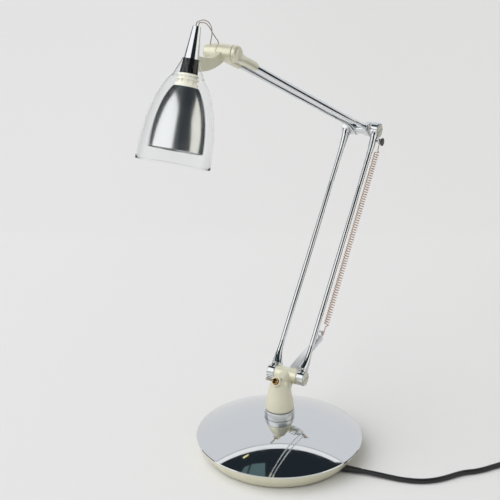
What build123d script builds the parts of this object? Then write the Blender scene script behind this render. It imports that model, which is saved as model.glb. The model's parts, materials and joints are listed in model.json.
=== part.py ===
from build123d import *
import math
import os

# Architect lamp: a weighted dome base, a stem that swivels on it, two arms of paired rods with a
# balance spring, and a small head with a reflector inside a clear bell.
# Millimetres, +Z up, origin in the middle of the resting face. The arms lie in the YZ plane, the
# head is towards -Y, and every arm joint turns about an axis along X.

# Clearances
SEAT_GAP = 0.02
RUN_GAP = 0.05
FACE_GAP = 0.3

# Base
BASE_R = 100.0
FOOT_R = 87.0
RIM_H = 21.0
RIM_BULGE = 1.0
PAD_T = 1.5
PAD_INSET = 4.0
FLOOR_T = 2.5
LIP_W = 4.0
COVER_T = 1.2
DOME_R = 205.0
BALLAST_IN_R = 46.0
BALLAST_OUT_R = 78.0
BALLAST_H = 13.0
TRANSFORMER_IN_R = 14.0
TRANSFORMER_OUT_R = 42.0
TRANSFORMER_H = 24.0

# Swivel
TUBE_R = 5.0
TUBE_BORE_R = 3.5
TUBE_HEAD_R = 9.0
TUBE_HEAD_T = 1.2
NUT_FLATS = 15.0
NUT_T = 4.5
SLEEVE_WALL = 3.0
COLLAR_R = 18.3
COLLAR_H = 9.7
WASHER_T = 0.8
WASHER_R = 15.0

# Stem
STEM_R = 17.5
STEM_MID_R = 15.3
STEM_MID_H = 15.4
STEM_NECK_R = 11.6
STEM_NECK_H = 31.4
STEM_TOP_H = 41.0
SHELF_T = 7.5
NUT_ROOM_R = 9.4
NUT_ROOM_H = 9.0
BARREL_R = 9.0
BARREL_HALF = 14.2
WEB_HALF = 8.0
WEB_FOOT_Y = 12.0
WEB_FOOT_H = 14.0
PIVOT_BACK = 20.6
PIVOT_RISE = 34.0

# Switch
SWITCH_RISE_DEG = 34.0
SWITCH_FORWARD = 11.2
SWITCH_OVER_PIVOT = 5.6
BOSS_R = 6.2
BOSS_DEPTH = 16.0
BUSH_R = 3.9
BUSH_BORE_R = 3.0
BUSH_PROUD = 2.5
BUSH_DEPTH = 4.0
SWITCH_BODY = 9.0
SWITCH_BODY_L = 12.0
TOGGLE_LEAN_DEG = 18.0
TOGGLE_BALL_R = 2.6
TOGGLE_ROOT_R = 1.15
TOGGLE_TIP_R = 1.8
TOGGLE_L = 18.0

# Arms
ROD_R = 3.0
LOWER_LENGTH = 328.7
LOWER_LEAN_DEG = 39.0
LOWER_SPREAD = 19.3
DRUM_R = 9.0
DRUM_W = 9.2
BOSS_END_R = 10.0
BOSS_END_W = 9.6
DRUM_FLARE_L = 38.0
BOSS_FLARE_L = 28.0
AXLE_R = 4.0
SHAFT_R = 3.5
PIVOT_CAP_R = 8.0
ELBOW_CAP_R = 7.8
CAP_SEAT = 1.6
CAP_PROUD = 0.6
SLOT_W = 1.2
SLOT_DEPTH = 0.6
SLOT_TURN_DEG = 45.0
UPPER_LENGTH = 395.0
UPPER_RISE_DEG = 24.5
UPPER_SPREAD = 9.3
LEAF_R = 9.3
LEAF_FLARE_L = 30.0
SPACER_R = 7.4
ELBOW_WASHER_R = 8.0

# Balance spring, its lever on the stem and its post on the lower arm
SPRING_X = 28.4
SPRING_TURNS = 72
COIL_R = 2.75
WIRE_R = 0.65
COIL_START = 13.0
COIL_STOP = 16.07
COIL_TURN_OUT = 3.0
HOOK_BEND_R = 1.6
EYE_ALONG = 58.0
EYE_BEHIND = 3.2
EYE_R = 4.6
EYE_T = 2.8
EYE_FACE_GAP = 0.35
EYE_HOLE_GAP = 0.2
LEVER_ROOT_T = 10.0
LEVER_WAIST_T = 8.0
LEVER_TIP_T = 5.0
LEVER_ROOT_X = 3.0
LEVER_ROOT_BEHIND = 2.4
LEVER_ROOT_W = 12.4
LEVER_WAIST_X = 9.5
LEVER_WAIST_AT = 26.0
LEVER_WAIST_BEHIND = 8.4
LEVER_WAIST_W = 10.0
LEVER_TIP_BEHIND = 5.6
LEVER_TIP_W = 5.4
POST_FROM_ELBOW = 13.4
POST_BEHIND = 3.3
POST_SHANK_R = 1.6
POST_GROOVE_R = 2.2
POST_FLANGE_R = 4.0
POST_DISC_R = 4.9
POST_FLANGE_T = 1.0
POST_DISC_T = 1.6
POST_GROOVE_W = 2.4

# Knuckle
EAR_R = 8.0
EAR_W = 6.2
DOME_EAR_R = 8.5
DOME_EAR_W = 6.5
DOME_EAR_ROUND = 4.5
DOME_EAR_ROOT = 1.4
HUB_R = 8.5
HUB_LEFT = 3.1
HUB_RIGHT = 12.8
HUB_HOLE_X = 2.8
HUB_HOLE_R = 1.1
HUB_HOLE_DEPTH = 3.0
KNOB_R = 7.0
KNOB_W = 9.5
KNOB_ROUND = 2.5
KNUCKLE_PIN_R = 3.0
PIN_IN_EAR = 4.0
SOCKET_R = 4.6
SOCKET_L = 54.5
SOCKET_ROOT = 24.0
ROD_STOP = 15.0

# Head
HEAD_TILT_DEG = 22.0
HEAD_REACH = 57.1
HEAD_DROP = 12.9
CONE_L = 45.0
CONE_TOP_R = 4.2
CONE_END_R = 8.7
CONE_WALL = 1.0
HOOK_HALF = 3.1
HOOK_UPPER = 26.0
HOOK_LOWER = 40.5
SCREW_R = 1.4
SCREW_HEAD_R = 2.4
SCREW_HEAD_T = 1.4
SCREW_GRIP = 8.0
BUSH_PLUG_L = 5.0
NECK_TOP = 31.0
NECK_FLARE = 6.6
NECK_WALL = 1.3
BELL_TOP = 47.5
BELL_END = 129.7
BELL_R = 35.6
BELL_STRETCH = 87.0
BELL_BAND = 3.7
BELL_WALL = 2.0
HOLDER_R = 9.2
HOLDER_SPIGOT_L = 6.0
HOLDER_LEDGE_R = 10.4
HOLDER_LEDGE_T = 1.2
HOLDER_FLANGE_R = 10.9
HOLDER_FLANGE_T = 3.5
HOLDER_NOTCHES = 10
HOLDER_NOTCH_W = 1.6
HOLDER_NOTCH_D = 1.0
HOLDER_L = 12.5
REFLECTOR_L = 59.0
REFLECTOR_R = 26.6
REFLECTOR_STRETCH = 66.7
REFLECTOR_WALL = 0.8
REFLECTOR_HOLE_R = 6.6
BOWL_STEPS = 8
BULB_R = 5.6
BULB_NECK_R = 4.6
BULB_NECK_L = 9.0
BULB_L = 31.0
BULB_PIN_R = 0.6
BULB_PIN_L = 6.0
BULB_PIN_HALF = 2.2
LEAD_R = 0.45
LEAD_RISE = 4.0
LEAD_STAND = 1.3
# Where each lead lands on the knuckle, along and across its axis
OUTER_LANDING = (-5.0, 0.5)
INNER_LANDING = (-12.5, -1.5)
# Bow of each lead: share of the way along X, and place behind and above the knuckle's axis
OUTER_BOW = [(0.17, -41.7, 35.7), (0.33, -31.5, 34.3), (0.5, -21.7, 28.2), (0.67, -13.2, 20.2), (0.83, -5.0, 13.8)]
INNER_BOW = [(0.17, -38.1, 36.2), (0.33, -26.2, 35.8), (0.5, -12.5, 30.4), (0.67, -4.4, 22.7), (0.83, -2.1, 14.9)]

# Cord
CORD_R = 3.0
EXIT_PROUD = 0.17
EXIT_ANGLE_DEG = -5.7
CORD_HEADING_DEG = 9.0
EXIT_Z = 4.4
GROMMET_IN = 3.5
GROMMET_L = 25.0
GROMMET_R = 4.2
GROMMET_END_R = 3.4
TIE_T = 0.8
TIE_W = 7.0
TIE_GAP = 0.3
LOOP_GAP = 0.5
LOOPS_PER_LAYER = 3
CLIMB_IN = 2.0
COIL_OUT_R = 46.0
COIL_HEADING_DEG = 60.0
TAIL_L = 46.0
PLUG_L = 36.0
PLUG_W = 34.0
PLUG_TAIL_L = 13.0
PLUG_PIN_R = 2.4
PLUG_PIN_L = 19.0
PLUG_PIN_HALF = 9.5
CORD_LEAD = 13.0
CORD_ROUTE = [
    (140, -0.9, 3.5),
    (161.5, 2, 3.05),
    (183, 10, 3.05),
    (199.5, 25, 3.05),
    (215.3, 49.5, 3.05),
    (230.5, 60.6, 3.05),
    (248.5, 86, 3.05),
    (261, 106, 3.2),
]
COIL_AT_X = 283.0
COIL_AT_Y = 139.6

# Heights and stations that follow from the sizes above
RIM_TOP = RIM_H + COVER_T
FLOOR_TOP = PAD_T + FLOOR_T
LAND_Z = RIM_TOP + math.sqrt(DOME_R**2 - COLLAR_R**2) - math.sqrt(DOME_R**2 - BASE_R**2)
COLLAR_TOP = LAND_Z + COLLAR_H
STEM_Z = COLLAR_TOP + WASHER_T + FACE_GAP
SLEEVE_R = TUBE_R + SEAT_GAP + SLEEVE_WALL
DRUM_IN = LOWER_SPREAD - DRUM_W / 2
DRUM_OUT = LOWER_SPREAD + DRUM_W / 2
BOSS_IN = LOWER_SPREAD - BOSS_END_W / 2
BOSS_OUT = LOWER_SPREAD + BOSS_END_W / 2
LEAF_IN = UPPER_SPREAD - ROD_R
LEAF_OUT = UPPER_SPREAD + ROD_R
EAR_RIGHT = HUB_RIGHT + FACE_GAP
EAR_LEFT = HUB_LEFT + FACE_GAP
KNOB_IN = EAR_LEFT + EAR_W
HOLDER_TOP = CONE_L
HOLDER_END = HOLDER_TOP + HOLDER_L
EXIT_R = FOOT_R + (BASE_R - FOOT_R) * (EXIT_Z - PAD_T) / (RIM_H - PAD_T) + EXIT_PROUD
LOOP_PITCH = 2 * CORD_R + LOOP_GAP
LAYER_1_Z = TIE_T + TIE_GAP + CORD_R
LAYER_2_Z = LAYER_1_Z + LOOP_PITCH
CORD_END = Vector(COIL_AT_X, COIL_AT_Y, LAYER_1_Z)


def lean(degrees):
    """Sine and cosine of an angle in degrees."""
    return math.sin(math.radians(degrees)), math.cos(math.radians(degrees))


# Frames: local X is always the lamp's X, local Z runs along the piece
LOWER_SIN, LOWER_COS = lean(LOWER_LEAN_DEG)
UPPER_SIN, UPPER_COS = lean(UPPER_RISE_DEG)
HEAD_SIN, HEAD_COS = lean(HEAD_TILT_DEG)
SWITCH_SIN, SWITCH_COS = lean(SWITCH_RISE_DEG)
PIVOT = Vector(0, PIVOT_BACK, STEM_Z + PIVOT_RISE)
LOWER = Plane(PIVOT, x_dir=(1, 0, 0), z_dir=(0, LOWER_SIN, LOWER_COS))
ELBOW = LOWER.from_local_coords((0, 0, LOWER_LENGTH))
UPPER = Plane(ELBOW, x_dir=(1, 0, 0), z_dir=(0, -UPPER_COS, UPPER_SIN))
KNUCKLE = UPPER.from_local_coords((0, 0, UPPER_LENGTH))
HEAD_DOWN = Vector(0, -HEAD_SIN, -HEAD_COS)
HEAD_BACK = Vector(0, HEAD_COS, -HEAD_SIN)
HEAD_TOP = KNUCKLE - HEAD_BACK * HEAD_REACH - HEAD_DOWN * HEAD_DROP
HEAD = Plane(HEAD_TOP, x_dir=(1, 0, 0), z_dir=HEAD_DOWN)
SWITCH_FACE = Vector(0, -SWITCH_FORWARD, PIVOT.Z + SWITCH_OVER_PIVOT)
SWITCH = Plane(SWITCH_FACE, x_dir=(1, 0, 0), z_dir=(0, -SWITCH_COS, SWITCH_SIN))

# The spring's axis runs from the lever's eye to the front of the post's groove
POST_ALONG = LOWER_LENGTH - POST_FROM_ELBOW
POST_TURN_R = POST_GROOVE_R + WIRE_R + SEAT_GAP
EYE = LOWER.from_local_coords((SPRING_X, EYE_BEHIND, EYE_ALONG))
SPRING_END = LOWER.from_local_coords((SPRING_X, POST_BEHIND - POST_TURN_R, POST_ALONG))
SPRING = Plane(EYE, x_dir=(1, 0, 0), z_dir=SPRING_END - EYE)
SPRING_SPAN = (SPRING_END - EYE).length
COIL_PITCH = (SPRING_SPAN - COIL_START - COIL_STOP) / SPRING_TURNS


def turned(*edges):
    """Solid of revolution about Z from a closed profile drawn as (radius, height)."""
    return revolve(Plane.XZ * make_face(edges), Axis.Z)


def ring(outer, inner, low, high):
    """Flat ring about Z between two heights."""
    return Pos(0, 0, low) * extrude(Circle(outer) - Circle(inner), high - low)


def disc(radius, low, high):
    """Plain cylinder about Z between two heights."""
    return Pos(0, 0, low) * extrude(Circle(radius), high - low)


def x_bar(radius, start, end, y=0.0, z=0.0):
    """Cylinder along X between two places, on the axis at y, z."""
    low = min(start, end)
    return extrude(Plane.YZ.offset(low) * Pos(y, z) * Circle(radius), abs(end - start))


def box(x, y, z):
    """Box between pairs of limits."""
    middle = Pos((x[0] + x[1]) / 2, (y[0] + y[1]) / 2, (z[0] + z[1]) / 2)
    return middle * Box(x[1] - x[0], y[1] - y[0], z[1] - z[0])


def biarc(start, start_dir, end, end_dir):
    """Two tangent arcs from one point and direction to another."""
    start, end = Vector(start), Vector(end)
    start_dir, end_dir = Vector(start_dir).normalized(), Vector(end_dir).normalized()
    span = end - start
    turn = 2 * (1 - start_dir.dot(end_dir))
    pull = span.dot(start_dir + end_dir)
    reach = (math.sqrt(pull**2 + turn * span.dot(span)) - pull) / turn
    middle = (start + end + (start_dir - end_dir) * reach) * 0.5
    middle_dir = (end - end_dir * reach) - (start + start_dir * reach)
    return [TangentArc(start, middle, tangent=start_dir), TangentArc(middle, end, tangent=middle_dir)]


def tube(path, radius):
    """Round tube along a path."""
    return sweep(Plane(path @ 0, z_dir=path % 0) * Circle(radius), path=path)


def least_gap(path, radius, steps, skip):
    """Least gap of a tube to itself, on points of its path that are at least skip points apart."""
    points = [tuple(edge @ (i / steps)) for edge in path.edges() for i in range(steps)]
    pairs = (math.dist(a, b) for i, a in enumerate(points) for b in points[i + skip:])
    return min(pairs) - 2 * radius


def round_route(points):
    """Path of straight runs with an arc at each point, as large as its two runs allow."""
    points = [Vector(p) for p in points]
    radii = []
    for before, here, after in zip(points, points[1:], points[2:]):
        run = min((here - before).length, (after - here).length)
        half_turn = math.radians((here - before).get_angle(after - here)) / 2
        radii.append(0.45 * run / math.tan(half_turn))
    return FilletPolyline(*points, radius=radii), radii


# Base


def base_pad():
    return disc(FOOT_R - PAD_INSET, 0, PAD_T)


def base_tray():
    foot = (FOOT_R, PAD_T)
    rim = (BASE_R, RIM_H)
    middle = ((FOOT_R + BASE_R) / 2 + RIM_BULGE, (PAD_T + RIM_H) / 2)
    inner_foot = (FOOT_R - LIP_W, FLOOR_TOP)
    hole = TUBE_R + SEAT_GAP
    shell = turned(
        ThreePointArc(foot, middle, rim),
        Polyline(rim, (BASE_R - LIP_W, RIM_H), inner_foot, (hole, FLOOR_TOP), (hole, PAD_T), foot),
    )
    shell -= disc(TUBE_HEAD_R + SEAT_GAP, PAD_T, PAD_T + TUBE_HEAD_T)
    return shell - cord_exit() * disc(GROMMET_R + SEAT_GAP, -GROMMET_IN - SEAT_GAP, GROMMET_L)


def dome_z(radius, depth):
    """Height of the dome at a radius, for its outer face or a face below it."""
    return LAND_Z - depth + math.sqrt(DOME_R**2 - radius**2) - math.sqrt(DOME_R**2 - COLLAR_R**2)


def base_cover():
    hole = TUBE_R + SEAT_GAP
    edge_in = BASE_R - LIP_W
    half_out = (BASE_R + COLLAR_R) / 2
    half_in = (edge_in + COLLAR_R) / 2
    under = LAND_Z - COVER_T
    return turned(
        Line((BASE_R, RIM_H), (BASE_R, RIM_TOP)),
        ThreePointArc((BASE_R, RIM_TOP), (half_out, dome_z(half_out, 0)), (COLLAR_R, LAND_Z)),
        Polyline((COLLAR_R, LAND_Z), (hole, LAND_Z), (hole, under), (COLLAR_R, under)),
        ThreePointArc((COLLAR_R, under), (half_in, dome_z(half_in, COVER_T)), (edge_in, RIM_H)),
        Line((edge_in, RIM_H), (BASE_R, RIM_H)),
    )


def base_weight():
    return ring(BALLAST_OUT_R, BALLAST_IN_R, FLOOR_TOP, FLOOR_TOP + BALLAST_H)


def transformer():
    core = ring(TRANSFORMER_OUT_R, TRANSFORMER_IN_R, FLOOR_TOP, FLOOR_TOP + TRANSFORMER_H)
    return fillet(core.edges().group_by(Axis.Z)[-1], TRANSFORMER_H / 4)


def swivel_tube():
    head = disc(TUBE_HEAD_R, PAD_T, PAD_T + TUBE_HEAD_T)
    shank = disc(TUBE_R, PAD_T, swivel_top() + NUT_T)
    return head + shank - disc(TUBE_BORE_R, PAD_T, swivel_top() + NUT_T)


def swivel_top():
    """Height of the underside of the nut that keeps the stem on the tube."""
    return STEM_Z + SHELF_T + FACE_GAP


def nut(low):
    outline = RegularPolygon(NUT_FLATS / 2, 6, major_radius=False)
    return Pos(0, 0, low) * extrude(outline - Circle(TUBE_R + SEAT_GAP), NUT_T)


def swivel_nut():
    return nut(FLOOR_TOP)


def spacer_sleeve():
    return ring(SLEEVE_R, TUBE_R + SEAT_GAP, FLOOR_TOP + NUT_T, LAND_Z - COVER_T)


def swivel_collar():
    collar = ring(COLLAR_R, TUBE_R + SEAT_GAP, LAND_Z, COLLAR_TOP)
    outer = collar.edges().filter_by(GeomType.CIRCLE).sort_by(lambda e: e.radius)[-2:]
    return fillet(outer, COLLAR_H / 12)


def swivel_washer():
    return ring(WASHER_R, TUBE_R + SEAT_GAP, COLLAR_TOP, COLLAR_TOP + WASHER_T)


def swivel_top_nut():
    return nut(swivel_top())


# Stem


def stem_body():
    foot = (STEM_R, STEM_Z)
    neck = (STEM_NECK_R, STEM_Z + STEM_NECK_H)
    crown = (0, STEM_Z + STEM_TOP_H)
    slope = ((STEM_NECK_R - STEM_MID_R) / (STEM_NECK_H - STEM_MID_H), 1)
    bullet = turned(
        ThreePointArc(foot, (STEM_MID_R, STEM_Z + STEM_MID_H), neck),
        *biarc((*neck, 0), (*slope, 0), (*crown, 0), (-1, 0, 0)),
        Polyline(crown, (0, STEM_Z), foot),
    )
    barrel = x_bar(BARREL_R, -BARREL_HALF, BARREL_HALF, PIVOT.Y, PIVOT.Z)
    web_top = STEM_Z + STEM_TOP_H - WEB_HALF
    web_side = Polyline(
        (0, web_top),
        (PIVOT.Y, web_top),
        (PIVOT.Y, PIVOT.Z - BARREL_R + SEAT_GAP),
        (WEB_FOOT_Y, STEM_Z + WEB_FOOT_H),
        (0, STEM_Z + WEB_FOOT_H),
        close=True,
    )
    web = extrude(Plane.YZ * make_face(web_side), WEB_HALF, both=True)
    web_back = Plane((0, 0, web_top), x_dir=(1, 0, 0), z_dir=(0, 1, 0))
    web += extrude(web_back * Circle(WEB_HALF), PIVOT.Y)
    boss = SWITCH.location * disc(BOSS_R, -BOSS_DEPTH, 0)
    body = bullet + barrel + web + boss
    body -= disc(TUBE_R + RUN_GAP, STEM_Z, STEM_Z + SHELF_T + NUT_ROOM_H)
    body -= disc(NUT_ROOM_R, STEM_Z + SHELF_T, STEM_Z + SHELF_T + NUT_ROOM_H)
    body -= x_bar(AXLE_R + RUN_GAP, -BARREL_HALF, BARREL_HALF, PIVOT.Y, PIVOT.Z)
    half = SWITCH_BODY / 2 + SEAT_GAP
    pocket = box((-half, half), (-half, half), (-BUSH_DEPTH - SWITCH_BODY_L - SEAT_GAP, -BUSH_DEPTH))
    bush_hole = disc(BUSH_R + SEAT_GAP, -BUSH_DEPTH, BUSH_PROUD)
    return body - SWITCH.location * (pocket + bush_hole)


def switch_body():
    half = SWITCH_BODY / 2
    return SWITCH.location * box((-half, half), (-half, half), (-BUSH_DEPTH - SWITCH_BODY_L, -BUSH_DEPTH))


def switch_bush():
    return SWITCH.location * ring(BUSH_R, BUSH_BORE_R, -BUSH_DEPTH, BUSH_PROUD)


def toggle_lever():
    bat = turned(
        Polyline((0, 0), (TOGGLE_ROOT_R, 0), (TOGGLE_TIP_R, TOGGLE_L - TOGGLE_TIP_R)),
        ThreePointArc(
            (TOGGLE_TIP_R, TOGGLE_L - TOGGLE_TIP_R),
            (TOGGLE_TIP_R * math.sqrt(0.5), TOGGLE_L - TOGGLE_TIP_R * (1 - math.sqrt(0.5))),
            (0, TOGGLE_L),
        ),
        Line((0, TOGGLE_L), (0, 0)),
    )
    lever = bat + Sphere(TOGGLE_BALL_R)
    return toggle_pivot() * Rot(0, -TOGGLE_LEAN_DEG, 0) * lever


def toggle_pivot():
    """Place of the ball in the bush, just over the switch's body."""
    return SWITCH.location * Pos(0, 0, TOGGLE_BALL_R + FACE_GAP - BUSH_DEPTH)


def spring_lever():
    eye_out = SPRING_X - WIRE_R - EYE_FACE_GAP
    eye_in = eye_out - EYE_T
    tip_place = Pos(eye_in - EYE_T / 4, EYE_BEHIND + LEVER_TIP_BEHIND, EYE_ALONG - EYE_R)
    waist_place = Pos(LEVER_WAIST_X, LEVER_WAIST_BEHIND, LEVER_WAIST_AT)
    root_place = Pos(LEVER_ROOT_X, LEVER_ROOT_BEHIND, 0)
    root = root_place * Rectangle(LEVER_ROOT_T, LEVER_ROOT_W)
    waist = waist_place * Rectangle(LEVER_WAIST_T, LEVER_WAIST_W)
    tip = tip_place * Rectangle(LEVER_TIP_T, LEVER_TIP_W)
    eye_core = Pos(eye_in, EYE_BEHIND, EYE_ALONG) * Rectangle(EYE_T, EYE_R)
    arm = loft([root, waist, tip]) + loft([tip, eye_core])
    eye = x_bar(EYE_R, eye_in - EYE_T / 2, eye_out, EYE_BEHIND, EYE_ALONG)
    lever = LOWER.location * (arm + eye)
    lever -= x_bar(BARREL_R, -BARREL_HALF, BARREL_HALF, PIVOT.Y, PIVOT.Z)
    hole = LOWER.location * x_bar(WIRE_R + EYE_HOLE_GAP, 0, SPRING_X, EYE_BEHIND, EYE_ALONG)
    return lever - hole


# Lower arm


def flare(half_x, half_y, length, thin):
    """Trumpet from an oval root at Z 0 to the round rod, thin being the oval's share left half way."""
    oval = Plane((0, 0, 0), x_dir=(0, 1, 0), z_dir=(0, 0, 1))
    root = oval * Ellipse(half_y, half_x)
    waist_y = ROD_R + thin * (half_y - ROD_R)
    waist_x = ROD_R + thin * (half_x - ROD_R)
    waist = oval.offset(length / 2) * Ellipse(waist_y, waist_x)
    return loft([root, waist, oval.offset(length) * Circle(ROD_R)])


def lower_rod(side):
    x = side * LOWER_SPREAD
    rod = Pos(x, 0, 0) * disc(ROD_R, DRUM_FLARE_L / 2, LOWER_LENGTH - BOSS_FLARE_L / 2)
    drum = x_bar(DRUM_R, side * DRUM_IN, side * DRUM_OUT)
    boss = x_bar(BOSS_END_R, side * BOSS_IN, side * BOSS_OUT, 0, LOWER_LENGTH)
    drum_flare = Pos(x, 0, 0) * flare(DRUM_W / 2 - SEAT_GAP, DRUM_R - SEAT_GAP, DRUM_FLARE_L, 0.3)
    boss_flare = flare(BOSS_END_W / 2 - SEAT_GAP, BOSS_END_R - SEAT_GAP, BOSS_FLARE_L, 0.3)
    body = rod + drum + boss + drum_flare + Pos(x, 0, LOWER_LENGTH) * Rot(180, 0, 0) * boss_flare
    body -= x_bar(AXLE_R + SEAT_GAP, side * DRUM_IN, side * DRUM_OUT)
    body -= x_bar(SHAFT_R + SEAT_GAP, side * BOSS_IN, side * BOSS_OUT, 0, LOWER_LENGTH)
    body -= x_bar(PIVOT_CAP_R + SEAT_GAP, side * (DRUM_OUT - CAP_SEAT), side * DRUM_OUT)
    body -= x_bar(ELBOW_CAP_R + SEAT_GAP, side * (BOSS_OUT - CAP_SEAT), side * BOSS_OUT, 0, LOWER_LENGTH)
    if side > 0:
        body -= x_bar(POST_SHANK_R + SEAT_GAP, LOWER_SPREAD, BOSS_OUT, POST_BEHIND, POST_ALONG)
    return LOWER.location * body


def slotted_cap(radius, side, face, along):
    """Round cap seated in a drum's outer face, with a screwdriver slot across it."""
    top = face + CAP_PROUD
    cap = x_bar(radius, side * (face - CAP_SEAT), side * top, 0, along)
    slot = Rot(SLOT_TURN_DEG, 0, 0) * Box(2 * SLOT_DEPTH, 2 * radius, SLOT_W)
    return LOWER.location * (cap - Pos(side * top, 0, along) * slot)


def pivot_cap(side):
    return slotted_cap(PIVOT_CAP_R, side, DRUM_OUT, 0)


def elbow_cap(side):
    return slotted_cap(ELBOW_CAP_R, side, BOSS_OUT, LOWER_LENGTH)


def pivot_axle():
    half = DRUM_OUT - CAP_SEAT
    return LOWER.location * x_bar(AXLE_R, -half, half)


def pivot_washers():
    low = BARREL_HALF + FACE_GAP / 3
    high = DRUM_IN - SEAT_GAP
    washers = [
        x_bar(BARREL_R, side * low, side * high) - x_bar(AXLE_R + SEAT_GAP, side * low, side * high)
        for side in (-1, 1)
    ]
    return LOWER.location * Compound(children=washers)


def elbow_shaft():
    half = BOSS_OUT - CAP_SEAT
    return LOWER.location * x_bar(SHAFT_R, -half, half, 0, LOWER_LENGTH)


def spring_post():
    flange_in = BOSS_OUT + FACE_GAP
    groove_mid = SPRING_X
    groove_in = groove_mid - POST_GROOVE_W / 2
    groove_out = groove_mid + POST_GROOVE_W / 2
    place = (POST_BEHIND, POST_ALONG)
    post = x_bar(POST_SHANK_R, LOWER_SPREAD, groove_in, *place)
    post += x_bar(POST_FLANGE_R, max(flange_in, groove_in - POST_FLANGE_T), groove_in, *place)
    post += x_bar(POST_GROOVE_R, groove_in, groove_out, *place)
    post += x_bar(POST_DISC_R, groove_out, groove_out + POST_DISC_T, *place)
    return LOWER.location * post


def spring_path():
    """Hook through the lever's eye, straight leg, close-wound turns, leg and a half turn on the post."""
    climb = Vector(0, 2 * math.pi * COIL_R, COIL_PITCH).normalized()
    fall = Vector(0, -climb.Y, climb.Z)
    hook_in = 3 * WIRE_R + EYE_FACE_GAP + EYE_T
    top = COIL_START + SPRING_TURNS * COIL_PITCH
    lead = COIL_START - COIL_TURN_OUT
    edges = [
        Line((-hook_in, 0, 0), (-HOOK_BEND_R, 0, 0)),
        TangentArc((-HOOK_BEND_R, 0, 0), (0, 0, HOOK_BEND_R), tangent=(1, 0, 0)),
        Line((0, 0, HOOK_BEND_R), (0, 0, lead)),
    ]
    edges += biarc((0, 0, lead), (0, 0, 1), (COIL_R, 0, COIL_START), climb)
    for turn in range(SPRING_TURNS):
        low = COIL_START + turn * COIL_PITCH
        half = low + COIL_PITCH / 2
        edges += biarc((COIL_R, 0, low), climb, (-COIL_R, 0, half), fall)
        edges += biarc((-COIL_R, 0, half), fall, (COIL_R, 0, low + COIL_PITCH), climb)
    edges += biarc((COIL_R, 0, top), climb, (0, 0, top + COIL_TURN_OUT), (0, 0, 1))
    over = (0, POST_TURN_R, SPRING_SPAN + POST_TURN_R)
    back = (0, 2 * POST_TURN_R, SPRING_SPAN)
    edges.append(Line((0, 0, top + COIL_TURN_OUT), (0, 0, SPRING_SPAN)))
    edges.append(ThreePointArc((0, 0, SPRING_SPAN), over, back))
    edges.append(Line(back, (0, 2 * POST_TURN_R, SPRING_SPAN - 2 * WIRE_R)))
    return Wire(edges)


def balance_spring():
    path = spring_path()
    print("spring: least gap to itself", round(least_gap(path, WIRE_R, 6, 12), 2))
    return SPRING.location * tube(path, WIRE_R)


# Upper arm


def upper_rod(side):
    x = side * UPPER_SPREAD
    rod = Pos(x, 0, 0) * disc(ROD_R, LEAF_FLARE_L / 2, UPPER_LENGTH - ROD_STOP)
    leaf = x_bar(LEAF_R, side * LEAF_IN, side * LEAF_OUT)
    leaf_flare = Pos(x, 0, 0) * flare(ROD_R - SEAT_GAP, LEAF_R - SEAT_GAP, LEAF_FLARE_L, 0.3)
    body = rod + leaf + leaf_flare
    return UPPER.location * (body - x_bar(SHAFT_R + RUN_GAP, side * LEAF_IN, side * LEAF_OUT))


def elbow_spacer():
    sleeve = x_bar(SPACER_R, -LEAF_IN, LEAF_IN)
    return UPPER.location * (sleeve - x_bar(SHAFT_R + RUN_GAP, -LEAF_IN, LEAF_IN))


def elbow_washers():
    high = BOSS_IN - FACE_GAP
    washers = [
        x_bar(ELBOW_WASHER_R, side * LEAF_OUT, side * high)
        - x_bar(SHAFT_R + RUN_GAP, side * LEAF_OUT, side * high)
        for side in (-1, 1)
    ]
    return UPPER.location * Compound(children=washers)


def rod_socket(side, inner, outer, half_y, root):
    """Tube round the end of a rod, growing out of an ear between two places along X."""
    x = side * UPPER_SPREAD
    oval = Plane((0, 0, UPPER_LENGTH), x_dir=(0, 1, 0), z_dir=(0, 0, -1))
    middle = side * (inner + outer) / 2
    ear_end = oval.offset(root) * Pos(0, middle) * Ellipse(half_y, (outer - inner) / 2)
    rod_end = oval.offset(SOCKET_ROOT) * Pos(0, x) * Circle(SOCKET_R)
    blend = loft([ear_end, rod_end])
    barrel = Pos(x, 0, 0) * disc(SOCKET_R, UPPER_LENGTH - SOCKET_L, UPPER_LENGTH - SOCKET_ROOT)
    return blend + barrel


def rod_hole(side):
    return Pos(side * UPPER_SPREAD, 0, 0) * disc(
        ROD_R + SEAT_GAP, UPPER_LENGTH - SOCKET_L, UPPER_LENGTH - ROD_STOP + SEAT_GAP
    )


def hub_room():
    """Space between the ears that the head's hub turns in."""
    return x_bar(HUB_R + FACE_GAP, -EAR_LEFT, EAR_RIGHT, 0, UPPER_LENGTH)


def knuckle_ear_right():
    end = EAR_RIGHT + DOME_EAR_W
    ear = x_bar(DOME_EAR_R, EAR_RIGHT, end, 0, UPPER_LENGTH)
    ear = fillet(ear.edges().sort_by(Axis.X)[-1], DOME_EAR_ROUND)
    socket = rod_socket(1, EAR_RIGHT + FACE_GAP, end - DOME_EAR_ROOT, DOME_EAR_R - 2, 3)
    hole = x_bar(KNUCKLE_PIN_R + SEAT_GAP, EAR_RIGHT, EAR_RIGHT + PIN_IN_EAR, 0, UPPER_LENGTH)
    return UPPER.location * (ear + socket - hole - hub_room() - rod_hole(1))


def knuckle_ear_left():
    ear = x_bar(EAR_R, -EAR_LEFT, -KNOB_IN, 0, UPPER_LENGTH)
    socket = rod_socket(-1, EAR_LEFT + 1, KNOB_IN, EAR_R - 2, 3)
    hole = x_bar(KNUCKLE_PIN_R + SEAT_GAP, -EAR_LEFT, -KNOB_IN, 0, UPPER_LENGTH)
    knob_room = x_bar(KNOB_R + FACE_GAP, -KNOB_IN, -KNOB_IN - KNOB_W, 0, UPPER_LENGTH)
    return UPPER.location * (ear + socket - hole - knob_room - hub_room() - rod_hole(-1))


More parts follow.
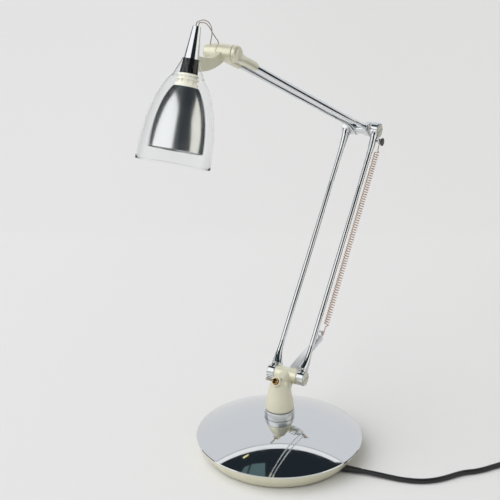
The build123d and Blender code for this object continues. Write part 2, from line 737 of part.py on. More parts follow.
def knuckle_knob():
    end = KNOB_IN + KNOB_W
    knob = x_bar(KNOB_R, -KNOB_IN, -end, 0, UPPER_LENGTH)
    knob = fillet(knob.edges().sort_by(Axis.X)[0], KNOB_ROUND)
    hole = x_bar(KNUCKLE_PIN_R + SEAT_GAP, -KNOB_IN, -end + KNOB_ROUND, 0, UPPER_LENGTH)
    return UPPER.location * (knob - hole)


def knuckle_pin():
    end = KNOB_IN + KNOB_W - KNOB_ROUND
    return UPPER.location * x_bar(KNUCKLE_PIN_R, -end, EAR_RIGHT + PIN_IN_EAR, 0, UPPER_LENGTH)


# Head, drawn with Z down along its axis from the cone's top and the knuckle at -Y


def cone_r(station):
    return CONE_TOP_R + (CONE_END_R - CONE_TOP_R) * station / CONE_L


def cone_solid(wall):
    return turned(Polyline(
        (0, 0), (CONE_TOP_R - wall, 0), (CONE_END_R - wall, CONE_L), (0, CONE_L), close=True
    ))


def head_arm():
    hub = x_bar(HUB_R, -HUB_LEFT, HUB_RIGHT, -HEAD_REACH, HEAD_DROP)
    upper_start = (-HEAD_REACH + 0.8 * HUB_R, HEAD_DROP)
    lower_start = (-HEAD_REACH - 0.15 * HUB_R, HEAD_DROP + 0.95 * HUB_R)
    upper_end = (0, HOOK_UPPER)
    lower_end = (0, HOOK_LOWER)
    side = make_face([
        *biarc((*upper_start, 0), (0.75, 0.66, 0), (*upper_end, 0), (1, 0, 0)),
        Line(upper_end, lower_end),
        *biarc((*lower_end, 0), (-1, 0, 0), (*lower_start, 0), (-0.8, -0.6, 0)),
        Polyline(lower_start, (-HEAD_REACH, HEAD_DROP), upper_start),
    ])
    hook = extrude(Plane.YZ * side, HOOK_HALF, both=True)
    arm = hub + hook - cone_solid(-SEAT_GAP)
    arm -= x_bar(KNUCKLE_PIN_R + RUN_GAP, -HUB_LEFT, HUB_RIGHT, -HEAD_REACH, HEAD_DROP)
    hub_top = HEAD_DROP - HUB_R
    set_hole = disc(HUB_HOLE_R, hub_top, hub_top + HUB_HOLE_DEPTH)
    arm -= Pos(HUB_HOLE_X, -HEAD_REACH, 0) * set_hole
    return HEAD.location * (arm - screw_axis() * disc(SCREW_R + SEAT_GAP, 0, SCREW_GRIP + SEAT_GAP))


def screw_axis():
    """Screw from inside the cone, square to its wall half way up the head's arm, pointing to the knuckle."""
    station = (HOOK_UPPER + HOOK_LOWER) / 2
    return Plane((0, -cone_r(station) + CONE_WALL, station), x_dir=(1, 0, 0), z_dir=(0, -1, 0)).location


def head_cone():
    cone = cone_solid(0) - cone_solid(CONE_WALL)
    return HEAD.location * (cone - screw_axis() * disc(SCREW_R + SEAT_GAP, -CONE_WALL, 2 * CONE_WALL))


def cone_screw():
    shank = disc(SCREW_R, 0, SCREW_GRIP)
    head = disc(SCREW_HEAD_R, -SCREW_HEAD_T - CONE_WALL / 2, -CONE_WALL / 2)
    return HEAD.location * screw_axis() * (shank + head + disc(SCREW_R, -CONE_WALL / 2, 0))


def lead_hole(side):
    """Place along X of each lead in the cone's top."""
    return side * CONE_TOP_R / 3


def wire_bush():
    plug = cone_solid(CONE_WALL + SEAT_GAP) & disc(CONE_END_R, 0, BUSH_PLUG_L)
    for side in (-1, 1):
        plug -= Pos(lead_hole(side), 0, 0) * disc(LEAD_R + RUN_GAP, 0, BUSH_PLUG_L)
    return HEAD.location * plug


def neck_collar():
    top_r = cone_r(NECK_TOP) + SEAT_GAP
    end_r = top_r + NECK_WALL + NECK_FLARE
    shell = turned(Polyline(
        (top_r, NECK_TOP),
        (top_r + NECK_WALL, NECK_TOP),
        (end_r, BELL_TOP),
        (end_r - NECK_WALL, BELL_TOP),
        close=True,
    ))
    slot_half = HOOK_HALF + FACE_GAP
    slot = box((-slot_half, slot_half), (-HEAD_REACH, 0), (0, HOOK_LOWER + 2 * FACE_GAP))
    return HEAD.location * (shell - slot)


def bowl_arc(radius, stretch, middle, start):
    """Wall of a bowl as part of an ellipse, from its top station to its widest station."""
    first = math.asin((start - middle) / stretch)
    angles = [first * (1 - i / BOWL_STEPS) for i in range(BOWL_STEPS + 1)]
    points = [(radius * math.cos(a), middle + stretch * math.sin(a)) for a in angles]
    start_dir = (-radius * math.sin(first), stretch * math.cos(first))
    return Spline(*points, tangents=[start_dir, (0, 1)])


def diffuser_bell():
    middle = BELL_END - BELL_BAND
    outer = bowl_arc(BELL_R, BELL_STRETCH, middle, BELL_TOP)
    inner = bowl_arc(BELL_R - BELL_WALL, BELL_STRETCH - BELL_WALL, middle, BELL_TOP + BELL_WALL)
    hole = HOLDER_R + SEAT_GAP
    return HEAD.location * turned(
        outer,
        Polyline(outer @ 1, (BELL_R, BELL_END), (BELL_R - BELL_WALL, BELL_END), inner @ 1),
        inner,
        Polyline(inner @ 0, (hole, BELL_TOP + BELL_WALL), (hole, BELL_TOP), outer @ 0),
    )


def lamp_holder():
    ledge = BELL_TOP + BELL_WALL
    body = disc(HOLDER_R, HOLDER_TOP, HOLDER_END)
    spigot_r = cone_r(CONE_L - HOLDER_SPIGOT_L) - CONE_WALL - SEAT_GAP
    body += disc(spigot_r, HOLDER_TOP - HOLDER_SPIGOT_L, HOLDER_TOP)
    body += disc(HOLDER_LEDGE_R, ledge, ledge + HOLDER_LEDGE_T)
    body += disc(HOLDER_FLANGE_R, HOLDER_END - HOLDER_FLANGE_T, HOLDER_END)
    notch_low = ledge + HOLDER_LEDGE_T
    notch_high = HOLDER_END - HOLDER_FLANGE_T
    notch = box(
        (HOLDER_R - HOLDER_NOTCH_D, HOLDER_R + HOLDER_NOTCH_D),
        (-HOLDER_NOTCH_W / 2, HOLDER_NOTCH_W / 2),
        (notch_low, notch_high),
    )
    for i in range(HOLDER_NOTCHES):
        body -= Rot(0, 0, 360 * (i + 0.5) / HOLDER_NOTCHES) * notch
    pin_hole = disc(BULB_PIN_R + SEAT_GAP, HOLDER_END - BULB_PIN_L, HOLDER_END)
    for side in (-1, 1):
        body -= Pos(side * BULB_PIN_HALF, 0, 0) * pin_hole
    return HEAD.location * body


def reflector():
    top = HOLDER_END
    end = top + REFLECTOR_L
    wall = REFLECTOR_WALL
    outer = bowl_arc(REFLECTOR_R, REFLECTOR_STRETCH, end, top)
    inner = bowl_arc(REFLECTOR_R - wall, REFLECTOR_STRETCH - wall, end, top + wall)
    return HEAD.location * turned(
        outer,
        Line(outer @ 1, inner @ 1),
        inner,
        Polyline(inner @ 0, (REFLECTOR_HOLE_R, top + wall), (REFLECTOR_HOLE_R, top), outer @ 0),
    )


def bulb():
    round_from = HOLDER_END + BULB_L - BULB_R
    shoulder = HOLDER_END + BULB_NECK_L
    capsule = turned(
        Polyline(
            (0, HOLDER_END), (BULB_NECK_R, HOLDER_END), (BULB_NECK_R, shoulder),
            (BULB_R, shoulder + BULB_R - BULB_NECK_R), (BULB_R, round_from),
        ),
        ThreePointArc(
            (BULB_R, round_from),
            (BULB_R * math.sqrt(0.5), round_from + BULB_R * math.sqrt(0.5)),
            (0, round_from + BULB_R),
        ),
        Line((0, round_from + BULB_R), (0, HOLDER_END)),
    )
    pin = disc(BULB_PIN_R, HOLDER_END - BULB_PIN_L, HOLDER_END)
    for side in (-1, 1):
        capsule += Pos(side * BULB_PIN_HALF, 0, 0) * pin
    return HEAD.location * capsule


def head_wire(side, landing, seat_r, bow):
    """Lead from the cone's top over to a round seat on the knuckle."""
    landing_x, landing_y = landing
    exit_point = HEAD.from_local_coords((lead_hole(side), 0, BUSH_PLUG_L))
    top = HEAD.from_local_coords((lead_hole(side), 0, -LEAD_RISE))
    landing_z = math.sqrt((seat_r + SEAT_GAP) ** 2 - landing_y**2)
    end = KNUCKLE + Vector(landing_x, landing_y, landing_z)
    over = KNUCKLE + Vector(landing_x, LEAD_STAND * landing_y, LEAD_STAND * landing_z)
    across = landing_x - lead_hole(side)
    middle = [KNUCKLE + Vector(lead_hole(side) + share * across, y, z) for share, y, z in bow]
    path, radii = round_route([exit_point, top, *middle, over, end])
    print("lead radii", [round(r, 1) for r in radii])
    return tube(path, LEAD_R)


def head_wire_outer():
    return head_wire(1, OUTER_LANDING, EAR_R, OUTER_BOW)


def head_wire_inner():
    return head_wire(-1, INNER_LANDING, KNOB_R, INNER_BOW)


# Cord


def cord_exit():
    """Frame of the strain relief, on the rim's outer face and along the cord."""
    exit_sin, exit_cos = lean(EXIT_ANGLE_DEG)
    place = (EXIT_R * exit_cos, EXIT_R * exit_sin, EXIT_Z)
    return Plane(place, x_dir=(0, 0, 1), z_dir=heading(CORD_HEADING_DEG)).location


def cord_grommet():
    end = GROMMET_L - GROMMET_IN
    return cord_exit() * turned(Polyline(
        (0, -GROMMET_IN),
        (GROMMET_R, -GROMMET_IN),
        (GROMMET_R, GROMMET_IN),
        (GROMMET_END_R, end),
        (0, end),
        close=True,
    ))


def heading(degrees):
    """Level direction at an angle from +X towards +Y."""
    return Vector(math.cos(math.radians(degrees)), math.sin(math.radians(degrees)), 0)


def power_cord():
    start = (cord_exit() * Pos(0, 0, GROMMET_L - GROMMET_IN)).position
    first = start + heading(CORD_HEADING_DEG) * CORD_LEAD
    last = CORD_END - heading(COIL_HEADING_DEG) * CORD_LEAD
    path, radii = round_route([start, first, *CORD_ROUTE, last, CORD_END])
    cord = tube(path, CORD_R)
    filled = cord.volume / (math.pi * CORD_R**2 * path.length)
    print("cord: radii", [round(r) for r in radii], "length", round(path.length))
    print("cord: volume over section times length", round(filled, 4))
    return cord


def coil_frame():
    """Frame of the coil, with the cord coming in on its +X side towards -Y."""
    forward = heading(COIL_HEADING_DEG)
    outward = heading(COIL_HEADING_DEG + 90)
    centre = CORD_END + forward * 2 * CORD_R - outward * COIL_OUT_R
    return Plane((centre.X, centre.Y, 0), x_dir=outward, z_dir=(0, 0, 1))


def coil_path():
    """Turns that spiral in on the lower layer, climb in one half turn and spiral out on the upper layer."""
    halves = 2 * LOOPS_PER_LAYER
    inward = [COIL_OUT_R - i * LOOP_PITCH / 2 for i in range(halves)]
    inward.append(COIL_OUT_R - halves * LOOP_PITCH / 2 - CLIMB_IN)
    reach = inward + inward[::-1]
    height = [LAYER_1_Z] * len(inward) + [LAYER_2_Z] * len(inward)
    start = Vector(COIL_OUT_R, 2 * CORD_R, LAYER_1_Z)
    edges = [Line(start, (COIL_OUT_R, 0, LAYER_1_Z))]
    for i in range(len(reach) - 1):
        side = 1 if i % 2 == 0 else -1
        here = Vector(side * reach[i], 0, height[i])
        there = Vector(-side * reach[i + 1], 0, height[i + 1])
        edges += biarc(here, (0, -side, 0), there, (0, side, 0))
    end = Vector(-COIL_OUT_R, 0, LAYER_2_Z)
    edges.append(Line(end, end + Vector(0, TAIL_L, 0)))
    return Wire(edges)


def cord_coil():
    path = coil_path()
    gap = least_gap(path, CORD_R, 16, 24)
    print("coil: length", round(path.length), "least gap to itself", round(gap, 2))
    return coil_frame().location * tube(path, CORD_R)


def cord_tie():
    inner = COIL_OUT_R - LOOPS_PER_LAYER * LOOP_PITCH - CLIMB_IN - CORD_R - TIE_GAP
    outer = COIL_OUT_R + CORD_R + TIE_GAP
    top = LAYER_2_Z + CORD_R + TIE_GAP
    band = box((-TIE_W / 2, TIE_W / 2), (inner - TIE_T, outer + TIE_T), (0, top + TIE_T))
    band -= box((-TIE_W, TIE_W), (inner, outer), (TIE_T, top))
    return coil_frame().location * band


def plug_frame():
    """Frame of the plug, along the cord where the coil's upper layer ends."""
    return coil_frame().location * Plane(
        (-COIL_OUT_R, TAIL_L, LAYER_2_Z), x_dir=(1, 0, 0), z_dir=(0, 1, 0)
    ).location


def plug():
    thick = 2 * LAYER_2_Z
    tail = loft([
        RectangleRounded(4 * CORD_R, 4 * CORD_R, CORD_R),
        Pos(0, 0, PLUG_TAIL_L) * RectangleRounded(PLUG_W, thick, CORD_R),
    ])
    body = Pos(0, 0, PLUG_TAIL_L) * extrude(RectangleRounded(PLUG_W, thick, CORD_R), PLUG_L - PLUG_TAIL_L)
    return plug_frame() * (tail + body)


def plug_pins():
    pin = disc(PLUG_PIN_R, PLUG_L, PLUG_L + PLUG_PIN_L)
    pins = [Pos(side * PLUG_PIN_HALF, 0, 0) * pin for side in (-1, 1)]
    return plug_frame() * Compound(children=pins)


NODES = {
    "base_pad": base_pad,
    "base_tray": base_tray,
    "base_cover": base_cover,
    "base_weight": base_weight,
    "transformer": transformer,
    "swivel_tube": swivel_tube,
    "swivel_nut": swivel_nut,
    "spacer_sleeve": spacer_sleeve,
    "swivel_collar": swivel_collar,
    "swivel_washer": swivel_washer,
    "swivel_top_nut": swivel_top_nut,
    "stem_body": stem_body,
    "switch_body": switch_body,
    "switch_bush": switch_bush,
    "toggle_lever": toggle_lever,
    "spring_lever": spring_lever,
    "lower_rod_left": lambda: lower_rod(-1),
    "lower_rod_right": lambda: lower_rod(1),
    "pivot_axle": pivot_axle,
    "pivot_washers": pivot_washers,
    "pivot_cap_left": lambda: pivot_cap(-1),
    "pivot_cap_right": lambda: pivot_cap(1),
    "elbow_shaft": elbow_shaft,
    "elbow_cap_left": lambda: elbow_cap(-1),
    "elbow_cap_right": lambda: elbow_cap(1),
    "spring_post": spring_post,
    "balance_spring": balance_spring,
    "upper_rod_left": lambda: upper_rod(-1),
    "upper_rod_right": lambda: upper_rod(1),
    "elbow_spacer": elbow_spacer,
    "elbow_washers": elbow_washers,
    "knuckle_ear_left": knuckle_ear_left,
    "knuckle_ear_right": knuckle_ear_right,
    "knuckle_knob": knuckle_knob,
    "knuckle_pin": knuckle_pin,
    "head_arm": head_arm,
    "head_cone": head_cone,
    "cone_screw": cone_screw,
    "wire_bush": wire_bush,
    "neck_collar": neck_collar,
    "diffuser_bell": diffuser_bell,
    "lamp_holder": lamp_holder,
    "reflector": reflector,
    "bulb": bulb,
    "head_wire_outer": head_wire_outer,
    "head_wire_inner": head_wire_inner,
    "cord_grommet": cord_grommet,
    "power_cord": power_cord,
    "cord_coil": cord_coil,
    "cord_tie": cord_tie,
    "plug": plug,
    "plug_pins": plug_pins,
}


def main():
    os.makedirs("parts", exist_ok=True)
    for name, make in NODES.items():
        export_step(make(), f"parts/{name}.step")


main()
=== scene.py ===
import json
import math

import bmesh
import bpy
from bpy.props import FloatProperty, FloatVectorProperty, IntProperty, PointerProperty
from mathutils import Matrix, Vector


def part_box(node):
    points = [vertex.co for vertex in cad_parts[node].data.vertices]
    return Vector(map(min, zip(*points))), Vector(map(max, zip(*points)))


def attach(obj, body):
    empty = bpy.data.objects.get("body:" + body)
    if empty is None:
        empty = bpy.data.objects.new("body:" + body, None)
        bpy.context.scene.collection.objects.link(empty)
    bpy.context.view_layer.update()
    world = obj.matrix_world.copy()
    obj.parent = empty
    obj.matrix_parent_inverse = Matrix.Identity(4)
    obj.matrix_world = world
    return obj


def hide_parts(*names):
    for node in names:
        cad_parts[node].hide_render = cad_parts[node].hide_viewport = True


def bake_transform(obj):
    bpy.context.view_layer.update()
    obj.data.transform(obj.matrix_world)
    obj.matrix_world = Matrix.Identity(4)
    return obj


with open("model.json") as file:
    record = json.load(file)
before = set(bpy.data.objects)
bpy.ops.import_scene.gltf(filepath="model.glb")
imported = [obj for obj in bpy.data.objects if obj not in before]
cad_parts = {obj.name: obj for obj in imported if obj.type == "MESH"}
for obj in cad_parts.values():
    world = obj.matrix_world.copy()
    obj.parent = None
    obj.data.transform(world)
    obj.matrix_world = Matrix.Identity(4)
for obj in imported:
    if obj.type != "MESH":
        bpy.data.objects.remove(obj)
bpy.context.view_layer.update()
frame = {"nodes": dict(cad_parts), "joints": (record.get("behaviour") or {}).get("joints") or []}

bl_info = {
    "name": "Architect lamp dresser",
    "version": (1, 0, 0),
    "blender": (4, 5, 0),
    "location": "View3D > Sidebar > Lamp",
    "description": "Dresses the packed architect lamp: base, stem, arms, spring, head, leads, cord and stage",
    "category": "Object",
}

JOINT = {joint["name"]: Vector(joint["pos_m"]) for joint in frame["joints"]}
NODES = frame["nodes"]
MM = 0.001
MERGE = 1e-7
X_AXIS = Vector((1, 0, 0))
Z_AXIS = Vector((0, 0, 1))


def along(origin, direction):
    """Frame whose Z runs along a direction in the arms' plane and whose X is the lamp's X."""
    z = direction.normalized()
    axes = Matrix((X_AXIS, z.cross(X_AXIS), z)).transposed()
    return Matrix.Translation(origin) @ axes.to_4x4()


PIVOT = JOINT["lower_arm_tilt"]
ELBOW = JOINT["upper_arm_tilt"]
KNUCKLE = JOINT["head_tilt"]
LOWER = along(PIVOT, ELBOW - PIVOT)
UPPER = along(ELBOW, KNUCKLE - ELBOW)
LOWER_LENGTH = (ELBOW - PIVOT).length
UPPER_LENGTH = (KNUCKLE - ELBOW).length


def length(name, description, default):
    return FloatProperty(name=name, description=description, default=default, unit="LENGTH")


def angle(name, description, degrees):
    return FloatProperty(name=name, description=description, default=math.radians(degrees), subtype="ANGLE")


def colour(name, description, default):
    return FloatVectorProperty(name=name, description=description, default=default, size=3, subtype="COLOR")


class LampSizes(bpy.types.PropertyGroup):
    """Sizes of the lamp's dressed pieces."""

    base_radius: length("Base radius", "Radius of the base at its rim", 0.1)
    foot_radius: length("Foot radius", "Radius of the rim at the table", 0.087)
    rim_height: length("Rim height", "Height of the rim's top edge", 0.021)
    dome_radius: length("Dome radius", "Radius of the sphere that the dome is part of", 0.205)
    collar_radius: length("Collar radius", "Radius of the collar under the stem", 0.0183)
    swivel_hole: length("Swivel hole", "Radius of the hole for the swivel tube", 0.0051)
    rod_radius: length("Rod radius", "Radius of the arms' rods", 0.003)
    lower_spread: length("Lower spread", "Lower rods' distance from the middle", 0.0193)
    upper_spread: length("Upper spread", "Upper rods' distance from the middle", 0.0093)
    head_tilt: angle("Head tilt", "Tilt of the head's axis from upright", 22)
    head_reach: length("Head reach", "Knuckle to the head's axis", 0.0571)
    head_drop: length("Head drop", "Cone's top to the knuckle's level along the head", 0.0129)
    # Where the cone's chrome turns black, inside the clear collar
    band_start: length("Sleeve start", "Cone's top to its black sleeve", 0.031)
    disc_thickness: length("Disc thickness", "Black disc on the end of the spring's post", 0.0017)
    spring_place: length("Spring place", "Distance of the spring's axis from the middle", 0.0284)
    spring_radius: length("Spring radius", "Radius of the spring's turns at the wire's middle", 0.00275)
    spring_wire: length("Spring wire", "Radius of the spring's wire", 0.00065)
    spring_turns: IntProperty(name="Spring turns", description="Turns of the balance spring", default=72)
    lead_radius: length("Lead radius", "Radius of the head's bare leads", 0.00045)
    cord_diameter: length("Cord diameter", "Diameter of the mains cord", 0.006)
    cord_length: length("Cord length", "Length of the mains cord up to its plug", 1.716)


class LampColours(bpy.types.PropertyGroup):
    """Colours of the lamp's finishes."""

    chrome: colour("Chrome", "Bright plating", (0.74, 0.755, 0.77))
    champagne: colour("Champagne", "Satin castings", (0.79, 0.765, 0.61))
    champagne_shade: colour("Champagne shade", "Darker patches of the castings", (0.7, 0.68, 0.53))
    satin: colour("Satin", "Brushed caps", (0.68, 0.67, 0.58))
    brass: colour("Brass", "Switch bush", (0.62, 0.42, 0.16))
    spring: colour("Spring", "Coppery wire of the spring", (0.68, 0.52, 0.43))
    lead: colour("Leads", "Bare leads of the head", (0.42, 0.36, 0.3))
    cream: colour("Cream", "Ceramic lamp holder", (0.9, 0.88, 0.78))
    reflector: colour("Reflector", "Polished aluminium", (0.74, 0.75, 0.75))
    clear: colour("Clear", "Clear bell and collar", (0.98, 0.985, 0.985))
    black: colour("Black", "Rubber cord and moulded pieces", (0.008, 0.008, 0.009))
    steel: colour("Steel", "Plain turned steel", (0.5, 0.5, 0.5))
    nylon: colour("Nylon", "Washers", (0.7, 0.7, 0.67))
    iron: colour("Iron", "Ballast and core", (0.09, 0.09, 0.09))
    felt: colour("Felt", "Pad under the base", (0.03, 0.03, 0.032))


class LampStage(bpy.types.PropertyGroup):
    """Floor, room, light and camera."""

    # The paper's two colours are painted light: paler on the key light's side, dimmer on the other
    paper_lit: colour("Paper, bright side", "Floor on the key light's side", (0.79, 0.79, 0.79))
    paper_dim: colour("Paper, dim side", "Floor on the other side", (0.755, 0.755, 0.75))
    room: colour("Room", "Unlit room that the chrome mirrors", (0.018, 0.025, 0.031))
    ambient: FloatProperty(name="Ambient", description="Even light from all round", default=0.42)
    key: FloatProperty(name="Key", description="Light from the upper left", default=2.3)
    fill: FloatProperty(name="Fill", description="Light from the right", default=0.2)
    camera_place: FloatVectorProperty(
        name="Camera place", description="Where the camera stands", default=(0.56209, -1.13247, 0.75327),
        size=3, subtype="TRANSLATION", unit="LENGTH",
    )
    camera_azimuth: angle("Camera azimuth", "Turn of the camera round the lamp", 28)
    camera_pitch: angle("Camera pitch", "Look down from level", 21.31)
    focal_share: FloatProperty(
        name="Focal share", description="Focal length as a share of the picture's width", default=2.38424
    )


def sizes():
    return bpy.context.scene.lamp_sizes


def colours():
    return bpy.context.scene.lamp_colours


def stage():
    return bpy.context.scene.lamp_stage


# Materials


class Value:
    """A shader value that takes part in plain arithmetic."""

    def __init__(self, finish, socket):
        self.finish = finish
        self.socket = socket

    def maths(self, operation, first, second):
        return self.finish.node("ShaderNodeMath", {"operation": operation}, {0: first, 1: second})

    def __add__(self, other):
        return self.maths("ADD", self, other)

    def __radd__(self, other):
        return self.maths("ADD", other, self)

    def __rsub__(self, other):
        return self.maths("SUBTRACT", other, self)

    def __mul__(self, other):
        return self.maths("MULTIPLY", self, other)

    def __gt__(self, other):
        return self.maths("GREATER_THAN", self, other)


class Finish:
    """A procedural material while its nodes are laid."""

    def __init__(self, name, tree=None):
        if tree is None:
            self.material = bpy.data.materials.new(name)
            self.material.use_nodes = True
            tree = self.material.node_tree
        self.tree = tree
        self.shader = tree.nodes.get("Principled BSDF")

    def node(self, kind, settings=None, inputs=None, output=0):
        made = self.tree.nodes.new(kind)
        for key, value in (settings or {}).items():
            if key == "stops":
                for place, shade in value:
                    stop = made.color_ramp.elements.new(place)
                    stop.color = (*shade, 1)
                made.color_ramp.elements.remove(made.color_ramp.elements[0])
                made.color_ramp.elements.remove(made.color_ramp.elements[-1])
            else:
                setattr(made, key, value)
        for key, value in (inputs or {}).items():
            self.put(made.inputs[key], value)
        return Value(self, made.outputs[output])

    def put(self, socket, value):
        if isinstance(value, Value):
            self.tree.links.new(value.socket, socket)
        elif socket.type == "RGBA" and len(value) == 3:
            socket.default_value = (*value, 1)
        else:
            socket.default_value = value

    def set(self, **inputs):
        for key, value in inputs.items():
            self.put(self.shader.inputs[key.replace("_", " ")], value)
        return self

    def place(self):
        return self.node("ShaderNodeTexCoord", output="Object")

    def station(self, direction):
        """Distance along a direction through the origin."""
        inputs = {0: self.place(), 1: direction}
        return self.node("ShaderNodeVectorMath", {"operation": "DOT_PRODUCT"}, inputs, output="Value")

    def noise(self, scale, detail=2.0, rough=0.5):
        inputs = {"Vector": self.place(), "Scale": scale, "Detail": detail, "Roughness": rough}
        return self.node("ShaderNodeTexNoise", None, inputs)

    def mix(self, share, first, second):
        inputs = {"Factor": share, "A": first, "B": second}
        return self.node("ShaderNodeMix", {"data_type": "RGBA"}, inputs, output="Result")

    def ramp(self, value, *stops):
        return self.node("ShaderNodeValToRGB", {"stops": stops}, {"Fac": value})

    def bump(self, height, strength, distance):
        inputs = {"Height": height, "Strength": strength, "Distance": distance}
        return self.node("ShaderNodeBump", None, inputs, output="Normal")


FINISHES = {}


def finish(kind):
    """One material of each kind, made on first use."""
    if kind not in FINISHES:
        FINISHES[kind] = MAKERS[kind](Finish("lamp_" + kind)).material
    return FINISHES[kind]


def chrome_finish(f):
    smear = f.noise(38, 4, 0.6)
    fine = f.noise(900, 2)
    haze = f.ramp(smear, (0.45, (0, 0, 0)), (0.8, (1, 1, 1)))
    f.set(Base_Color=f.mix(smear * 0.12, tuple(colours().chrome), (0.66, 0.68, 0.7)), Metallic=1.0)
    f.set(Roughness=0.035 + haze * 0.05 + fine * 0.012)
    return f


def champagne_finish(f):
    cloud = f.noise(55, 3)
    grain = f.noise(3200, 2, 0.6)
    pale, shade = tuple(colours().champagne), tuple(colours().champagne_shade)
    f.set(Base_Color=f.mix(cloud, pale, shade), Metallic=0.45)
    f.set(Roughness=0.3 + cloud * 0.1)
    f.set(Normal=f.bump(grain, 0.12, 0.00004))
    return f


def cone_finish(f):
    """Chrome that turns black below a level on the head's axis, where the clear collar sits."""
    top, down = head_frame().translation, head_frame().to_3x3() @ Z_AXIS
    # The cone is black below this level on the head's axis, inside the clear collar
    sleeve = f.station(down) > top.dot(down) + sizes().band_start
    smear = f.noise(38, 4, 0.6)
    f.set(Base_Color=f.mix(sleeve, tuple(colours().chrome), tuple(colours().black)), Metallic=1 - sleeve)
    f.set(Roughness=0.05 + smear * 0.04 + sleeve * 0.08)
    return f


def satin_finish(f):
    brush = f.noise(240, 3)
    f.set(Base_Color=f.mix(brush, tuple(colours().satin), (0.58, 0.57, 0.49)), Metallic=0.45)
    f.set(Roughness=0.34 + brush * 0.12)
    return f


def polished_finish(f):
    """Bright metal with a soft sheen, as on the lever's flat sides."""
    brush = f.noise(160, 3)
    f.set(Base_Color=f.mix(brush * 0.4, tuple(colours().chrome), (0.66, 0.68, 0.69)), Metallic=0.75)
    f.set(Roughness=0.26 + brush * 0.1)
    return f


def nickel_finish(f):
    dull = f.noise(500, 3)
    f.set(Base_Color=f.mix(dull, (0.68, 0.62, 0.52), (0.5, 0.45, 0.37)), Metallic=1.0)
    f.set(Roughness=0.14 + dull * 0.12)
    return f


def post_finish(f):
    """Bright spool with a black disc on its end."""
    disc = f.station(X_AXIS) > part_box("spring_post")[1].x - sizes().disc_thickness
    f.set(Base_Color=f.mix(disc, tuple(colours().chrome), tuple(colours().black)), Metallic=1 - disc)
    f.set(Roughness=0.12 + disc * 0.2 + f.noise(500, 2) * 0.06)
    return f


def brass_finish(f):
    tarnish = f.noise(420, 3)
    f.set(Base_Color=f.mix(tarnish, tuple(colours().brass), (0.34, 0.2, 0.07)), Metallic=1.0)
    f.set(Roughness=0.22 + tarnish * 0.2)
    return f


def spring_finish(f):
    patch = f.noise(300, 3)
    f.set(Base_Color=f.mix(patch, tuple(colours().spring), (0.48, 0.34, 0.27)), Metallic=0.55)
    f.set(Roughness=0.3 + patch * 0.2)
    return f


def lead_finish(f):
    patch = f.noise(700, 2)
    f.set(Base_Color=f.mix(patch, tuple(colours().lead), (0.3, 0.25, 0.2)), Metallic=0.8)
    f.set(Roughness=0.3 + patch * 0.2)
    return f


def cream_finish(f):
    speck = f.noise(1400, 3)
    f.set(Base_Color=f.mix(speck * 0.6, tuple(colours().cream), (0.8, 0.77, 0.64)))
    f.set(Roughness=0.5 + speck * 0.15, Normal=f.bump(speck, 0.1, 0.0001))
    return f


def reflector_finish(f):
    haze = f.noise(90, 3)
    f.set(Base_Color=f.mix(haze * 0.3, tuple(colours().reflector), (0.58, 0.59, 0.6)), Metallic=1.0)
    f.set(Roughness=0.2 + haze * 0.06)
    return f


def clear_finish(f):
    film = f.noise(60, 3)
    f.set(Base_Color=tuple(colours().clear), Transmission_Weight=1.0, IOR=1.15)
    f.set(Roughness=film * 0.03)
    return f


def bulb_finish(f):
    film = f.noise(200, 2)
    f.set(Base_Color=(0.96, 0.96, 0.95), Transmission_Weight=1.0, IOR=1.46)
    f.set(Roughness=0.01 + film * 0.02)
    return f


def rubber_finish(f):
    dust = f.noise(260, 3)
    f.set(Base_Color=f.mix(dust * 0.5, tuple(colours().black), (0.016, 0.016, 0.018)))
    f.set(Roughness=0.24 + dust * 0.14, Normal=f.bump(f.noise(2600, 2), 0.08, 0.0001))
    return f


def moulded_finish(f):
    dust = f.noise(420, 3)
    f.set(Base_Color=f.mix(dust * 0.5, tuple(colours().black), (0.028, 0.028, 0.03)))
    f.set(Roughness=0.3 + dust * 0.2, Normal=f.bump(f.noise(5200, 2), 0.1, 0.00005))
    return f


def steel_finish(f):
    grain = f.noise(600, 2)
    f.set(Base_Color=f.mix(grain, tuple(colours().steel), (0.38, 0.38, 0.38)), Metallic=1.0)
    f.set(Roughness=0.24 + grain * 0.2)
    return f


def nylon_finish(f):
    cloud = f.noise(300, 2)
    f.set(Base_Color=f.mix(cloud, tuple(colours().nylon), (0.58, 0.58, 0.55)))
    f.set(Roughness=0.42 + cloud * 0.12)
    return f


def iron_finish(f):
    scale = f.noise(500, 4, 0.7)
    f.set(Base_Color=f.mix(scale, tuple(colours().iron), (0.15, 0.13, 0.11)), Metallic=0.6)
    f.set(Roughness=0.55 + scale * 0.25, Normal=f.bump(scale, 0.4, 0.0006))
    return f


def felt_finish(f):
    fibre = f.noise(2400, 4, 0.8)
    f.set(Base_Color=f.mix(fibre, tuple(colours().felt), (0.07, 0.07, 0.072)))
    f.set(Roughness=0.9 + fibre * 0.1, Normal=f.bump(fibre, 0.6, 0.0006))
    return f


MAKERS = {
    "chrome": chrome_finish,
    "champagne": champagne_finish,
    "cone": cone_finish,
    "satin": satin_finish,
    "polished": polished_finish,
    "nickel": nickel_finish,
    "post": post_finish,
    "brass": brass_finish,
    "spring": spring_finish,
    "lead": lead_finish,
    "cream": cream_finish,
    "reflector": reflector_finish,
    "clear": clear_finish,
    "bulb": bulb_finish,
    "rubber": rubber_finish,
    "moulded": moulded_finish,
    "steel": steel_finish,
    "nylon": nylon_finish,
    "iron": iron_finish,
    "felt": felt_finish,
}


# Mesh helpers


def circle_points(centre, radius, first, last, steps):
    """Points on an arc, as (radius, height), with angles in degrees from the outward direction."""
    angles = [math.radians(first + (last - first) * i / steps) for i in range(steps + 1)]
    return [(centre[0] + radius * math.cos(a), centre[1] + radius * math.sin(a)) for a in angles]


